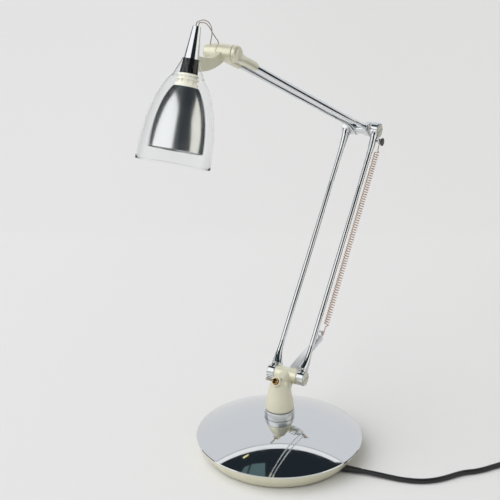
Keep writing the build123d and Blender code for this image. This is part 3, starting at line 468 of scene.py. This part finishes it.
def turn(points, segments=128, place=None):
    """Bmesh of a closed solid turned about Z from an outline of (radius, height) points, moved to a frame."""
    bm = bmesh.new()
    on_axis = max(points[0][0], points[-1][0]) < MERGE
    chain = [bm.verts.new((r, 0, z)) for r, z in (points if on_axis else [*points, points[0]])]
    edges = [bm.edges.new(pair) for pair in zip(chain, chain[1:])]
    bmesh.ops.spin(
        bm, geom=chain + edges, axis=Z_AXIS, cent=(0, 0, 0), angle=2 * math.pi, steps=segments, use_merge=True
    )
    bmesh.ops.remove_doubles(bm, verts=bm.verts, dist=MERGE)
    if place is not None:
        bmesh.ops.transform(bm, matrix=place, verts=bm.verts)
    return bm


def rounded_bar(radius, height, edge, inner=0.0, steps=4):
    """Outline of a round bar with rounded rims, as (radius, height) points from 0 up."""
    low = circle_points((radius - edge, edge), edge, -90, 0, steps)
    high = circle_points((radius - edge, height - edge), edge, 0, 90, steps)
    return [(inner, 0.0), *low, *high, (inner, height)]


def smooth_curve(name, points, radius, roundness, steps):
    """A round wire along a smooth curve with these control points."""
    curve = bpy.data.curves.new(name, "CURVE")
    curve.dimensions = "3D"
    curve.bevel_depth = radius
    curve.bevel_resolution = roundness
    curve.resolution_u = steps
    curve.use_fill_caps = True
    spline = curve.splines.new("NURBS")
    spline.points.add(len(points) - 1)
    for control, point in zip(spline.points, points):
        control.co = (*point, 1)
    spline.order_u = 3
    spline.use_endpoint_u = True
    return curve


def piece(name, bm, kind, body, nodes=(), crease=35.0):
    """Mesh object from a bmesh, with outward faces, smooth shading and its finish, standing for CAD nodes."""
    bmesh.ops.recalc_face_normals(bm, faces=bm.faces)
    mesh = bpy.data.meshes.new(name)
    bm.to_mesh(mesh)
    bm.free()
    mesh.shade_smooth()
    mesh.set_sharp_from_angle(angle=math.radians(crease))
    made = bpy.data.objects.new(name, mesh)
    bpy.context.scene.collection.objects.link(made)
    mesh.materials.append(finish(kind))
    if body:
        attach(made, body)
    if nodes:
        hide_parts(*nodes)
    return made


def skin(bm, rings):
    """Closed skin over round rings, each given by the frame that places and stretches a unit circle."""
    before = None
    for place in rings:
        made = bmesh.ops.create_circle(bm, segments=48, radius=1.0, matrix=place)
        ring = list(dict.fromkeys(edge for vert in made["verts"] for edge in vert.link_edges))
        if before is None:
            bmesh.ops.contextual_create(bm, geom=ring)
        else:
            bmesh.ops.bridge_loops(bm, edges=before + ring)
        before = ring
    bmesh.ops.contextual_create(bm, geom=before)


def casting(name, node, kind, body, voxel, rounds, cuts=(), rings=()):
    """A copy of a CAD node with its creases run together, as in a cast and polished piece.

    Cuts are planes as (point, normal) that trim it, and a skin over the rings is joined on."""
    bm = bmesh.new()
    bm.from_mesh(NODES[node].data)
    bmesh.ops.remove_doubles(bm, verts=bm.verts, dist=1e-6)
    for point, normal in cuts:
        whole = bm.verts[:] + bm.edges[:] + bm.faces[:]
        cut = bmesh.ops.bisect_plane(bm, geom=whole, plane_co=point, plane_no=normal, clear_outer=True)
        rim = [edge for edge in cut["geom_cut"] if isinstance(edge, bmesh.types.BMEdge)]
        bmesh.ops.holes_fill(bm, edges=rim)
    if rings:
        skin(bm, rings)
    made = piece(name, bm, kind, None)
    remesh = made.modifiers.new("cast", "REMESH")
    remesh.mode = "VOXEL"
    remesh.voxel_size = voxel
    smooth = made.modifiers.new("polish", "SMOOTH")
    smooth.factor = 0.5
    smooth.iterations = rounds
    solid = made.evaluated_get(bpy.context.evaluated_depsgraph_get())
    mesh = bpy.data.meshes.new_from_object(solid)
    made.modifiers.clear()
    made.data = mesh
    mesh.shade_smooth()
    mesh.materials.clear()
    mesh.materials.append(finish(kind))
    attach(made, body)
    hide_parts(node)


def paint(kind, *nodes):
    """Gives CAD nodes whose shape is right a finish."""
    for node in nodes:
        mesh = NODES[node].data
        mesh.materials.clear()
        mesh.materials.append(finish(kind))


# Operators


def bearing(degrees):
    """Level direction at an angle to the right of the way that the camera faces."""
    turned = stage().camera_azimuth - math.radians(degrees)
    return Vector((-math.sin(turned), math.cos(turned), 0))


class LAMP_OT_stage(bpy.types.Operator):
    """Lays the paper floor, hangs the studio's cards, sets the lights and places the camera"""

    bl_idname = "lamp.stage"
    bl_label = "Stage"

    lamp = Vector((0, 0, 0))
    head = Vector((0, -0.2, 0))
    floor_radius = 14.0
    floor_height = -0.0002
    dark_floor_height = 0.0005
    ceiling = 2.2
    sensor = 36.0

    def execute(self, context):
        self.camera(context.scene)
        self.floor()
        self.room(context.scene)
        self.cards()
        self.sheets()
        self.sun("key", azimuth=-105, height=48, spread=75, power=stage().key)
        self.sun("fill", azimuth=100, height=40, spread=90, power=stage().fill)
        context.scene.view_settings.view_transform = "Standard"
        return {"FINISHED"}

    def set_piece(self, name, bm, material):
        """Adds one flat thing of the studio, which isn't part of the lamp."""
        mesh = bpy.data.meshes.new(name)
        bm.to_mesh(mesh)
        bm.free()
        mesh.materials.append(material)
        made = bpy.data.objects.new(name, mesh)
        bpy.context.scene.collection.objects.link(made)
        return made

    def floor(self):
        bm = bmesh.new()
        bmesh.ops.create_circle(bm, cap_ends=True, segments=96, radius=self.floor_radius)
        bmesh.ops.translate(bm, verts=bm.verts, vec=Z_AXIS * self.floor_height)
        paper = Finish("paper")
        near, far = tuple(stage().paper_lit), tuple(stage().paper_dim)
        # Painted light: the paper's colour runs from paler on the key light's side to dimmer on the other
        shade = paper.ramp(paper.station(bearing(90)) + 0.5, (0.1, near), (0.85, far))
        fibre = paper.noise(700, 3)
        paper.set(Base_Color=paper.mix(fibre * 0.03, shade, (0.6, 0.6, 0.6)))
        paper.set(Roughness=0.85, Specular_IOR_Level=0.1)
        self.set_piece("paper_floor", bm, paper.material)

    def room(self, scene):
        """An even light on all surfaces, which mirrors show as a dark room."""
        world = bpy.data.worlds.new("studio")
        world.use_nodes = True
        scene.world = world
        air = Finish("studio", world.node_tree)
        bounced = air.node("ShaderNodeLightPath", output="Glossy Depth") > 0.5
        mirrored = bounced * air.node("ShaderNodeLightPath", output="Is Glossy Ray")
        through = (1 - bounced) * air.node("ShaderNodeLightPath", output="Is Transmission Ray")
        seen = through + air.node("ShaderNodeLightPath", output="Is Camera Ray")
        level = stage().ambient
        shade = air.mix(seen, (level, level, level), tuple(stage().paper_lit))
        shade = air.mix(mirrored, shade, tuple(stage().room))
        air.put(world.node_tree.nodes["Background"].inputs["Color"], shade)

    def card(self, name, centre, azimuth, reach, width, heights, shade, strength=1.0, through=True):
        """An upright sheet that only the lamp's polished and clear pieces see."""
        low, high = heights
        bm = bmesh.new()
        bmesh.ops.create_grid(bm, x_segments=1, y_segments=1, size=0.5)
        bmesh.ops.scale(bm, vec=(width, high - low, 1), verts=bm.verts)
        faced = Matrix.Rotation(stage().camera_azimuth - math.radians(azimuth), 4, "Z")
        upright = faced @ Matrix.Rotation(math.pi / 2, 4, "X")
        middle = centre + bearing(azimuth) * reach + Z_AXIS * (low + high) / 2
        bmesh.ops.transform(bm, matrix=Matrix.Translation(middle) @ upright, verts=bm.verts)
        hung = self.set_piece(name, bm, self.glow(name, shade, strength))
        hung.visible_transmission = through
        self.mirrored_only(hung)

    def sheet(self, name, height, corners, shade):
        """A level sheet that only the lamp's polished and clear pieces see."""
        bm = bmesh.new()
        rim = [bm.verts.new(corner + Z_AXIS * height) for corner in corners]
        bmesh.ops.contextual_create(bm, geom=rim)
        self.mirrored_only(self.set_piece(name, bm, self.glow(name, shade)))

    def glow(self, name, shade, strength=1.0):
        """Material of a card or sheet, with one shade or a function that lays its nodes."""
        face = Finish(name)
        face.set(Base_Color=(0, 0, 0), Specular_IOR_Level=0.0, Emission_Strength=strength)
        face.set(Emission_Color=shade(face) if callable(shade) else shade)
        return face.material

    def backdrop_shade(self, face):
        """Pale paper with a seam and a bright strip along its top."""
        pale = (0.76, 0.78, 0.81)
        return face.ramp(
            face.station(Z_AXIS) * 0.5, (0.0, (0.77, 0.77, 0.77)), (0.3, pale), (0.765, pale),
            (0.77, (0.4, 0.41, 0.43)), (0.785, (0.42, 0.43, 0.45)), (0.8, (1, 1, 1)),
            (0.95, (0.95, 0.96, 0.97)),
        )

    def cards(self):
        slate = (0.1, 0.125, 0.15)
        white = (1.0, 1.0, 1.0)
        warm = (1.0, 0.98, 0.9)
        grey = (0.6, 0.64, 0.6)
        self.card("backdrop", self.lamp, 0, 0.75, 2.62, (0.0, 1.9), self.backdrop_shade, through=False)
        self.card("slate_card", self.lamp, -61, 1.0, 0.46, (0.0, 0.62), slate, through=False)
        self.card("slate_foot", self.lamp, -41, 0.85, 0.21, (0.0, 0.14), slate, through=False)
        self.card("left_softbox", self.head, -122, 1.0, 2.2, (0.25, 2.5), white, strength=1.2)
        self.card("right_softbox", self.head, 94, 1.2, 1.05, (0.2, 1.1), warm, strength=1.05)
        self.card("front_card", self.lamp, 180, 0.5, 1.4, (0.0, 0.42), grey, through=False)

    def sheets(self):
        """A dark stretch of floor, and two windows and a light on the ceiling."""
        stretch = ((31, 0.55), (55, 0.42), (80, 0.5), (80, 9.0), (55, 9.0), (31, 9.0))
        corners = [bearing(azimuth) * reach for azimuth, reach in stretch]
        self.sheet("dark_floor", self.dark_floor_height, corners, tuple(stage().room))
        teal = (0.1, 0.16, 0.165)
        amber = (1.0, 0.92, 0.5)
        for name, shade, *places in (
            ("window", teal, (-0.64, 0.41), (-0.31, 0.37), (-0.33, -0.05), (-0.76, 0.08)),
            ("side_window", teal, (-0.83, 0.37), (-0.69, 0.4), (-0.8, 0.1), (-0.95, 0.2)),
            ("room_light", amber, (-0.84, 0.69), (-0.72, 0.75), (-0.7, 0.82), (-0.86, 0.76)),
        ):
            corners = [bearing(90) * right + bearing(0) * ahead for right, ahead in places]
            self.sheet(name, self.ceiling, corners, shade)

    def mirrored_only(self, thing):
        """Hides a thing of the studio from all but the lamp's polished and clear pieces."""
        thing.visible_camera = False
        thing.visible_diffuse = False
        thing.visible_shadow = False

    def sun(self, name, azimuth, height, spread, power):
        light = bpy.data.lights.new(name, "SUN")
        light.energy = power
        light.angle = math.radians(spread)
        made = bpy.data.objects.new(name, light)
        rise = math.radians(height)
        away = bearing(azimuth) * math.cos(rise) + Z_AXIS * math.sin(rise)
        made.rotation_mode = "QUATERNION"
        made.rotation_quaternion = away.to_track_quat("Z", "Y")
        made.visible_glossy = False
        made.visible_transmission = False
        bpy.context.scene.collection.objects.link(made)

    def camera(self, scene):
        data = bpy.data.cameras.new("camera")
        data.sensor_fit = "HORIZONTAL"
        data.sensor_width = self.sensor
        data.lens = self.sensor * stage().focal_share
        camera = bpy.data.objects.new("camera", data)
        camera.location = stage().camera_place
        camera.rotation_euler = (math.pi / 2 - stage().camera_pitch, 0, stage().camera_azimuth)
        scene.collection.objects.link(camera)
        scene.camera = camera


class LAMP_OT_cord(bpy.types.Operator):
    """Lays the mains cord along its route and winds the rest in a tied coil"""

    bl_idname = "lamp.cord"
    bl_label = "Cord"

    # Lengths and places in millimetres
    exit_angle = math.radians(-5.7)
    exit_radius = 89.1
    exit_height = 4.4
    heading = math.radians(9.0)
    relief = 21.5
    lead = 13.0
    route = (
        (140, -0.9, 3.5),
        (161.5, 2, 3.05),
        (183, 10, 3.05),
        (199.5, 25, 3.05),
        (215.3, 49.5, 3.05),
        (230.5, 60.6, 3.05),
        (248.5, 86, 3.05),
        (261, 106, 3.2),
    )
    coil_start = Vector((283, 139.6, 4.1))
    coil_heading = math.radians(60.0)
    coil_radius = 46.0
    loop_pitch = 6.5
    half_turns = 6
    half_turn_points = 8
    climb_in = 2.0
    lead_in = 6.0
    tail = 46.0

    def coil_points(self):
        """Control points of the coil's turns, spiralling in below and out above."""
        forward = Vector((math.cos(self.coil_heading), math.sin(self.coil_heading), 0))
        outward = Vector((-forward.y, forward.x, 0))
        centre = self.coil_start + forward * self.lead_in - outward * self.coil_radius
        inward = [self.coil_radius - i * self.loop_pitch / 2 for i in range(self.half_turns)]
        inward.append(self.coil_radius - self.half_turns * self.loop_pitch / 2 - self.climb_in)
        reach = inward + inward[::-1]
        steps = self.half_turn_points
        proud = 1 / math.cos(math.pi / steps / 2) ** 0.5
        points = []
        for half in range(len(reach) - 1):
            for i in range(steps):
                share = i / steps
                turned = math.pi * (half + share)
                radius = proud * (reach[half] + (reach[half + 1] - reach[half]) * share)
                climb = float(half > self.half_turns)
                if half == self.half_turns:
                    climb = 0.5 - 0.5 * math.cos(math.pi * share)
                around = outward * math.cos(turned) + forward * math.sin(turned)
                points.append(centre + around * radius + Z_AXIS * self.loop_pitch * climb)
        end = centre - outward * self.coil_radius + Z_AXIS * self.loop_pitch
        return points, end, end - forward * self.tail

    def execute(self, context):
        out = Vector((math.cos(self.heading), math.sin(self.heading), 0))
        rim = Vector((math.cos(self.exit_angle), math.sin(self.exit_angle), 0)) * self.exit_radius
        start = rim + Z_AXIS * self.exit_height + out * self.relief
        forward = Vector((math.cos(self.coil_heading), math.sin(self.coil_heading), 0))
        turns, end, tip = self.coil_points()
        points = [start, start + out * self.lead, *map(Vector, self.route)]
        points += [self.coil_start - forward * self.lead, self.coil_start]
        points += [*turns, end, end.lerp(tip, 0.5), tip]
        route = [point * MM for point in points]
        curve = smooth_curve("mains_cord", route, sizes().cord_diameter / 2, roundness=6, steps=10)
        cord = bpy.data.objects.new("mains_cord", curve)
        context.scene.collection.objects.link(cord)
        curve.materials.append(finish("rubber"))
        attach(cord, "base")
        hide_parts("power_cord", "cord_coil")
        paint("moulded", "plug", "cord_tie")
        paint("steel", "plug_pins")
        paint("rubber", "cord_grommet")
        return {"FINISHED"}


class LAMP_OT_base(bpy.types.Operator):
    """Turns the rim, the mirror dome and the collar of the base"""

    bl_idname = "lamp.base"
    bl_label = "Base"

    wall = 4 * MM
    tray_floor = 2.5 * MM
    tray_bulge = 1 * MM
    cover = 1.2 * MM
    lip = 0.5 * MM
    lip_in = 0.4 * MM
    collar_edge = 0.8 * MM

    def execute(self, context):
        s = sizes()
        self.tray(s)
        self.dome(s)
        self.collar(s)
        paint("felt", "base_pad")
        paint("iron", "base_weight", "transformer")
        paint("steel", "swivel_tube", "swivel_nut", "spacer_sleeve", "swivel_top_nut")
        paint("nylon", "swivel_washer")
        return {"FINISHED"}

    def tray(self, s):
        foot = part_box("base_tray")[0].z
        steps = 10
        side = []
        for i in range(steps + 1):
            t = i / steps
            bulge = 4 * t * (1 - t) * self.tray_bulge
            radius = s.foot_radius + (s.base_radius - s.foot_radius) * t + bulge
            side.append((radius, foot + (s.rim_height - foot) * t))
        floor = foot + self.tray_floor
        bm = turn([
            (s.swivel_hole, foot), *side, (s.base_radius - self.wall, s.rim_height),
            (s.foot_radius - self.wall, floor), (s.swivel_hole, floor),
        ], segments=192)
        piece("rim_tray", bm, "champagne", "base", ["base_tray"])

    def dome(self, s):
        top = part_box("base_cover")[1].z
        edge = s.rim_height + self.cover
        centre = edge - math.sqrt(s.dome_radius**2 - s.base_radius**2)
        first = math.degrees(math.acos((s.base_radius - self.lip_in) / s.dome_radius))
        last = math.degrees(math.acos(s.collar_radius / s.dome_radius))
        arc = circle_points((0, centre), s.dome_radius, first, last, 40)
        bm = turn([
            (s.base_radius - self.wall, s.rim_height), (s.base_radius, s.rim_height),
            (s.base_radius, edge - self.lip), *arc, (s.swivel_hole, top),
            (s.swivel_hole, top - self.cover), (s.collar_radius, top - self.cover),
        ], segments=256)
        piece("mirror_dome", bm, "chrome", "base", ["base_cover"], crease=25)

    def collar(self, s):
        low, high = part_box("swivel_collar")
        outline = rounded_bar(s.collar_radius, high.z - low.z, self.collar_edge, s.swivel_hole)
        bm = turn([(r, z + low.z) for r, z in outline])
        piece("stem_collar", bm, "polished", "base", ["swivel_collar"])


class LAMP_OT_stem(bpy.types.Operator):
    """Casts the stem, its lever and the toggle, and finishes the switch"""

    bl_idname = "lamp.stem"
    bl_label = "Stem and switch"

    def execute(self, context):
        casting("stem_casting", "stem_body", "champagne", "stem", voxel=0.45 * MM, rounds=14)
        casting("lever_casting", "spring_lever", "polished", "stem", voxel=0.35 * MM, rounds=6)
        paint("moulded", "switch_body")
        paint("brass", "switch_bush")
        casting("toggle_bat", "toggle_lever", "nickel", "toggle", voxel=0.2 * MM, rounds=6)
        return {"FINISHED"}


class LAMP_OT_arms(bpy.types.Operator):
    """Makes the rods of both arms with their flared ends, caps, washers and spacer"""

    bl_idname = "lamp.arms"
    bl_label = "Arms"

    # Rings of a flare in millimetres: station from the joint, half width, half depth and shift inwards
    drum_flare = (
        (10.3, 7.2, 8.2, 2.6), (13, 6.4, 7.2, 1.9), (16, 5.6, 6.2, 1.2), (20, 4.7, 5.0, 0.6),
        (25, 3.9, 4.0, 0.2), (31, 3.3, 3.3, 0.0), (39, 3.0, 3.0, 0.0),
    )
    boss_flare = (
        (-85, 3.0, 3.0, 0.0), (-68, 3.12, 3.12, 0.0), (-52, 3.26, 3.26, 0.0), (-42, 3.4, 3.42, 0.0),
        (-33, 3.6, 3.72, 0.0), (-25, 3.9, 4.3, 0.0), (-18, 4.3, 5.4, 0.0), (-12, 4.6, 6.9, 0.0),
        (-8, 4.8, 8.2, 0.0), (-4, 4.8, 9.1, 0.0), (0, 4.7, 9.2, 0.0),
    )
    drum_reach = 40 * MM
    boss_reach = 30 * MM
    leaf_reach = 32 * MM
    socket_reach = 15 * MM
    overlap = 1 * MM
    bar_edge = 0.3 * MM
    voxel = 0.35 * MM

    def execute(self, context):
        s = sizes()
        for side, name in ((-1, "left"), (1, "right")):
            self.lower_rod(f"lower_rod_{name}", side * s.lower_spread)
            self.upper_rod(f"upper_rod_{name}", side * s.upper_spread)
        paint("steel", "pivot_axle", "elbow_shaft", "knuckle_pin")
        paint("nylon", "pivot_washers", "elbow_washers")
        paint("satin", "pivot_cap_left", "pivot_cap_right", "elbow_cap_left", "elbow_cap_right")
        paint("chrome", "elbow_spacer")
        paint("post", "spring_post")
        return {"FINISHED"}

    def lower_rod(self, node, x):
        """Rod between a drum and a boss, which both flare into it."""
        low, high = self.drum_reach, LOWER_LENGTH - self.boss_reach
        along_rod = LOWER.to_3x3() @ Z_AXIS
        foot = LOWER @ Vector((x, 0, low + self.overlap))
        rings = self.rings(LOWER, x, self.drum_flare)
        casting(f"{node}_foot", node, "chrome", "lower_arm", self.voxel, 16, [(foot, along_rod)], rings)
        head = LOWER @ Vector((x, 0, high - self.overlap))
        rings = self.rings(LOWER @ Matrix.Translation((0, 0, LOWER_LENGTH)), x, self.boss_flare)
        casting(f"{node}_head", node, "chrome", "lower_arm", self.voxel, 24, [(head, -along_rod)], rings)
        self.bar(node, LOWER, x, low, high, "lower_arm")

    def upper_rod(self, node, x):
        """Rod from a leaf at the elbow into the knuckle's socket."""
        low, high = self.leaf_reach, UPPER_LENGTH - self.socket_reach
        leaf = UPPER @ Vector((x, 0, low + self.overlap))
        cut = (leaf, UPPER.to_3x3() @ Z_AXIS)
        casting(f"{node}_foot", node, "chrome", "upper_arm", self.voxel, 8, [cut])
        self.bar(node, UPPER, x, low, high, "upper_arm")

    def rings(self, place, x, flare):
        """Frames of a flare's oval rings, for a rod at this distance from the middle."""
        inward = -1 if x > 0 else 1
        frames = []
        for station, half_width, half_depth, shift in flare:
            middle = Matrix.Translation((x + inward * shift * MM, 0, station * MM))
            frames.append(place @ middle @ Matrix.Diagonal((half_width * MM, half_depth * MM, 1, 1)))
        return frames

    def bar(self, node, place, x, low, high, body):
        outline = rounded_bar(sizes().rod_radius, high - low, self.bar_edge)
        bm = turn(outline, segments=48, place=place @ Matrix.Translation((x, 0, low)))
        piece(f"{node}_bar", bm, "chrome", body, [node])


def bent_wire(name, points, radius, kind, node, steps):
    """A bent wire as a mesh, from a smooth curve with these control points."""
    curve = smooth_curve(name, points, radius, roundness=2, steps=steps)
    guide = bpy.data.objects.new(name + "_guide", curve)
    bpy.context.scene.collection.objects.link(guide)
    mesh = bpy.data.meshes.new_from_object(guide.evaluated_get(bpy.context.evaluated_depsgraph_get()))
    bpy.data.objects.remove(guide)
    bm = bmesh.new()
    bm.from_mesh(mesh)
    bpy.data.meshes.remove(mesh)
    bmesh.ops.remove_doubles(bm, verts=bm.verts, dist=MERGE)
    return piece(name, bm, kind, None, [node])


class LAMP_OT_spring(bpy.types.Operator):
    """Winds the balance spring from the lever's eye to the post"""

    bl_idname = "lamp.spring"
    bl_label = "Balance spring"

    # Lengths in millimetres
    eye_along = 58.0
    eye_behind = 3.2
    post_along = 315.3
    post_behind = 0.4
    post_turn = 2.9
    hook_reach = 5.1
    first_turn = 13.0
    last_turn = 16.07
    turn_out = 3.0
    turn_points = 12
    eye_bend = 1.2
    eye_rise = 1.6
    post_bend = 2.0
    tip_drop = 1.3
    # Shares of the span where the wire is cut into lengths
    splits = (0.09, 0.15, 0.25, 0.45)
    full_tilt = math.radians(45)

    def turned(self, share):
        """Part of the arm's tilt that a point takes on if the spring stays straight at full tilt."""
        low, high = self.eye_along, self.post_along
        chord = math.sqrt(low**2 + high**2 - 2 * low * high * math.cos(self.full_tilt))
        offset = low * high * math.sin(self.full_tilt) / chord
        reach = low + (high - low) * share
        return (math.asin(offset / low) - math.asin(offset / reach)) / self.full_tilt

    def bend(self, first, last):
        """Start and end of a blend, as shares of the span, that fit the turn at two shares.

        The blend rises as 3t^2 - 2t^3, and each turn is put through that curve's inverse."""
        low, high = (0.5 - math.sin(math.asin(1 - 2 * self.turned(share)) / 3) for share in (first, last))
        run = (last - first) / (high - low)
        return first - low * run, first + (1 - low) * run

    def execute(self, context):
        s = sizes()
        eye = LOWER @ Vector((s.spring_place, self.eye_behind * MM, self.eye_along * MM))
        post = LOWER @ Vector((s.spring_place, self.post_behind * MM, self.post_along * MM))
        place = along(eye, post - eye)
        span = (post - eye).length / MM
        coil = s.spring_radius / MM
        pitch = (span - self.first_turn - self.last_turn) / s.spring_turns
        top = span - self.last_turn
        points = [(-self.hook_reach, 0, 0), (-self.eye_bend, 0, 0), (0, 0, 0), (0, 0, self.eye_rise)]
        hook = len(points)
        points.append((0, 0, self.first_turn - self.turn_out))
        wide = coil / math.cos(math.pi / self.turn_points)
        for i in range(s.spring_turns * self.turn_points + 1):
            turns = i / self.turn_points
            swept = 2 * math.pi * turns
            points.append((wide * math.cos(swept), wide * math.sin(swept), self.first_turn + pitch * turns))
        reach = self.post_turn
        points += [(0, 0, top + self.turn_out), (0, 0, span - self.post_bend), (0, 0, span + reach)]
        points += [(0, 2 * reach, span + reach), (0, 2 * reach, span - self.tip_drop)]
        wire = [place @ (Vector(p) * MM) for p in points]
        turns_below = [(share * span - self.first_turn) / pitch for share in self.splits]
        inner = [hook + 1 + round(turns * self.turn_points) for turns in turns_below]
        cuts = [0, hook, *inner, len(points) - 1]
        for number, (first, last) in enumerate(zip(cuts, cuts[1:])):
            route = wire[first:last + 1]
            made = bent_wire(f"spring_{number}", route, s.spring_wire, "spring", "balance_spring", steps=2)
            shares = [min(points[cut][2] / span, 1) for cut in (first, last)]
            start, end = (eye.lerp(post, share) for share in self.bend(*shares))
            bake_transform(made)
        return {"FINISHED"}


class LAMP_OT_knuckle(bpy.types.Operator):
    """Casts the knuckle's ears and knob"""

    bl_idname = "lamp.knuckle"
    bl_label = "Knuckle"

    def execute(self, context):
        casting("ear_left_casting", "knuckle_ear_left", "champagne", "upper_arm", voxel=0.35 * MM, rounds=6)
        casting("ear_right_casting", "knuckle_ear_right", "champagne", "upper_arm", voxel=0.35 * MM, rounds=6)
        casting("knob_casting", "knuckle_knob", "champagne", "upper_arm", voxel=0.3 * MM, rounds=4)
        return {"FINISHED"}


def head_frame():
    """Frame on the head's axis, from the cone's top down towards the mouth."""
    s = sizes()
    down = Vector((0, -math.sin(s.head_tilt), -math.cos(s.head_tilt)))
    back = Vector((0, math.cos(s.head_tilt), -math.sin(s.head_tilt)))
    return along(KNUCKLE - back * s.head_reach - down * s.head_drop, down)


class LAMP_OT_head(bpy.types.Operator):
    """Casts the head's arm and turns the cone, the reflector and the clear bell"""

    bl_idname = "lamp.head"
    bl_label = "Head"

    # Outlines in millimetres, as (radius, station from the cone's top)
    cone = ((3.2, 0), (3.9, 0), (4.2, 0.3), (8.7, 45), (7.7, 45))
    bell_hole = 9.3
    bell_rim = ((35.6, 129.2), (35.3, 129.6), (35.0, 129.2))
    bell_top = 47.5
    bell_wall = 0.6
    bell_stretch = 87
    bell_middle = 126
    reflector_hole = 6.6
    reflector_radius = 26.6
    reflector_top = 57.5
    reflector_wall = 0.8
    reflector_stretch = 66.7
    reflector_middle = 116.5

    def bowl(self, radius, stretch, middle, top, steps=40):
        """Part of an ellipse as (radius, station), from its top to its widest place."""
        first = math.asin((top - middle) / stretch)
        angles = [first * (1 - i / steps) for i in range(steps + 1)]
        return [(radius * math.cos(a), middle + stretch * math.sin(a)) for a in angles]

    def shell(self, hole, radius, stretch, middle, top, wall, rim=()):
        """Outline of a bowl with a wall and a round hole in its top."""
        outer = self.bowl(radius, stretch, middle, top)
        inner = self.bowl(radius - wall, stretch - wall, middle, top + wall)
        return [(hole, top), *outer, *rim, *inner[::-1], (hole, top + wall)]

    def turned(self, outline, segments):
        """Bmesh turned about the head's axis from an outline in millimetres."""
        return turn([(radius * MM, station * MM) for radius, station in outline], segments, head_frame())

    def execute(self, context):
        casting("hook_casting", "head_arm", "champagne", "head", voxel=0.35 * MM, rounds=6)
        piece("chrome_cone", self.turned(self.cone, 96), "cone", "head", ["head_cone"])
        outline = self.shell(
            self.bell_hole, self.bell_rim[0][0], self.bell_stretch, self.bell_middle, self.bell_top,
            self.bell_wall, self.bell_rim,
        )
        bell = piece("clear_bell", self.turned(outline, 160), "clear", "head", ["diffuser_bell"], crease=50)
        bell.visible_shadow = False
        outline = self.shell(
            self.reflector_hole, self.reflector_radius, self.reflector_stretch, self.reflector_middle,
            self.reflector_top, self.reflector_wall,
        )
        piece("reflector_bowl", self.turned(outline, 160), "reflector", "head", ["reflector"], crease=50)
        paint("clear", "neck_collar")
        NODES["neck_collar"].visible_shadow = False
        paint("cream", "lamp_holder")
        paint("bulb", "bulb")
        paint("steel", "cone_screw")
        paint("moulded", "wire_bush")
        return {"FINISHED"}


class LAMP_OT_leads(bpy.types.Operator):
    """Bends the two bare leads from the cone to the knuckle"""

    bl_idname = "lamp.leads"
    bl_label = "Leads"

    # Lengths in millimetres
    hole = 1.4
    depth = 5.0
    rise = 4.0
    stand = 1.3
    # Control points as (share of the way across, Y and Z from the knuckle)
    outer_bow = (
        (0.17, -41.7, 35.7), (0.33, -31.5, 34.3), (0.5, -21.7, 28.2), (0.67, -13.2, 20.2), (0.83, -5.0, 13.8),
    )
    inner_bow = (
        (0.17, -38.1, 36.2), (0.33, -26.2, 35.8), (0.5, -12.5, 30.4), (0.67, -4.4, 22.7), (0.83, -2.1, 14.9),
    )
    outer_landing = (-5.0, 0.5)
    inner_landing = (-12.5, -1.5)
    outer_seat = 8.05
    inner_seat = 7.05

    def execute(self, context):
        hole = self.hole
        self.lead("lead_outer", "head_wire_outer", hole, self.outer_landing, self.outer_seat, self.outer_bow)
        self.lead("lead_inner", "head_wire_inner", -hole, self.inner_landing, self.inner_seat, self.inner_bow)
        return {"FINISHED"}

    def lead(self, name, node, hole, landing, seat, bow):
        """Lead from a hole in the cone's top to a round seat on the knuckle, in millimetres."""
        place = head_frame()
        x, y = landing
        z = math.sqrt(seat**2 - y**2)
        points = [place @ (Vector((hole, 0, station)) * MM) for station in (self.depth, -self.rise)]
        points += [KNUCKLE + Vector((hole + share * (x - hole), dy, dz)) * MM for share, dy, dz in bow]
        points += [KNUCKLE + Vector((x, stand * y, stand * z)) * MM for stand in (self.stand, 1)]
        wire = bent_wire(name, points, sizes().lead_radius, "lead", node, steps=8)
        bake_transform(wire)


class LAMP_PT_panel(bpy.types.Panel):
    """Sidebar list of the lamp's steps"""

    bl_idname = "LAMP_PT_panel"
    bl_label = "Architect lamp"
    bl_space_type = "VIEW_3D"
    bl_region_type = "UI"
    bl_category = "Lamp"

    def draw(self, context):
        for step in STEPS:
            self.layout.operator(step.bl_idname)


STEPS = (
    LAMP_OT_stage,
    LAMP_OT_cord,
    LAMP_OT_base,
    LAMP_OT_stem,
    LAMP_OT_arms,
    LAMP_OT_spring,
    LAMP_OT_knuckle,
    LAMP_OT_head,
    LAMP_OT_leads,
)
CLASSES = (LampSizes, LampColours, LampStage, *STEPS, LAMP_PT_panel)


def register():
    for cls in CLASSES:
        bpy.utils.register_class(cls)
    bpy.types.Scene.lamp_sizes = PointerProperty(type=LampSizes)
    bpy.types.Scene.lamp_colours = PointerProperty(type=LampColours)
    bpy.types.Scene.lamp_stage = PointerProperty(type=LampStage)


def unregister():
    del bpy.types.Scene.lamp_stage
    del bpy.types.Scene.lamp_colours
    del bpy.types.Scene.lamp_sizes
    for cls in reversed(CLASSES):
        bpy.utils.unregister_class(cls)


def main():
    register()
    bpy.ops.lamp.stage()
    bpy.ops.lamp.cord()
    bpy.ops.lamp.base()
    bpy.ops.lamp.stem()
    bpy.ops.lamp.arms()
    bpy.ops.lamp.spring()
    bpy.ops.lamp.knuckle()
    bpy.ops.lamp.head()
    bpy.ops.lamp.leads()


if __name__ == "__main__":
    main()
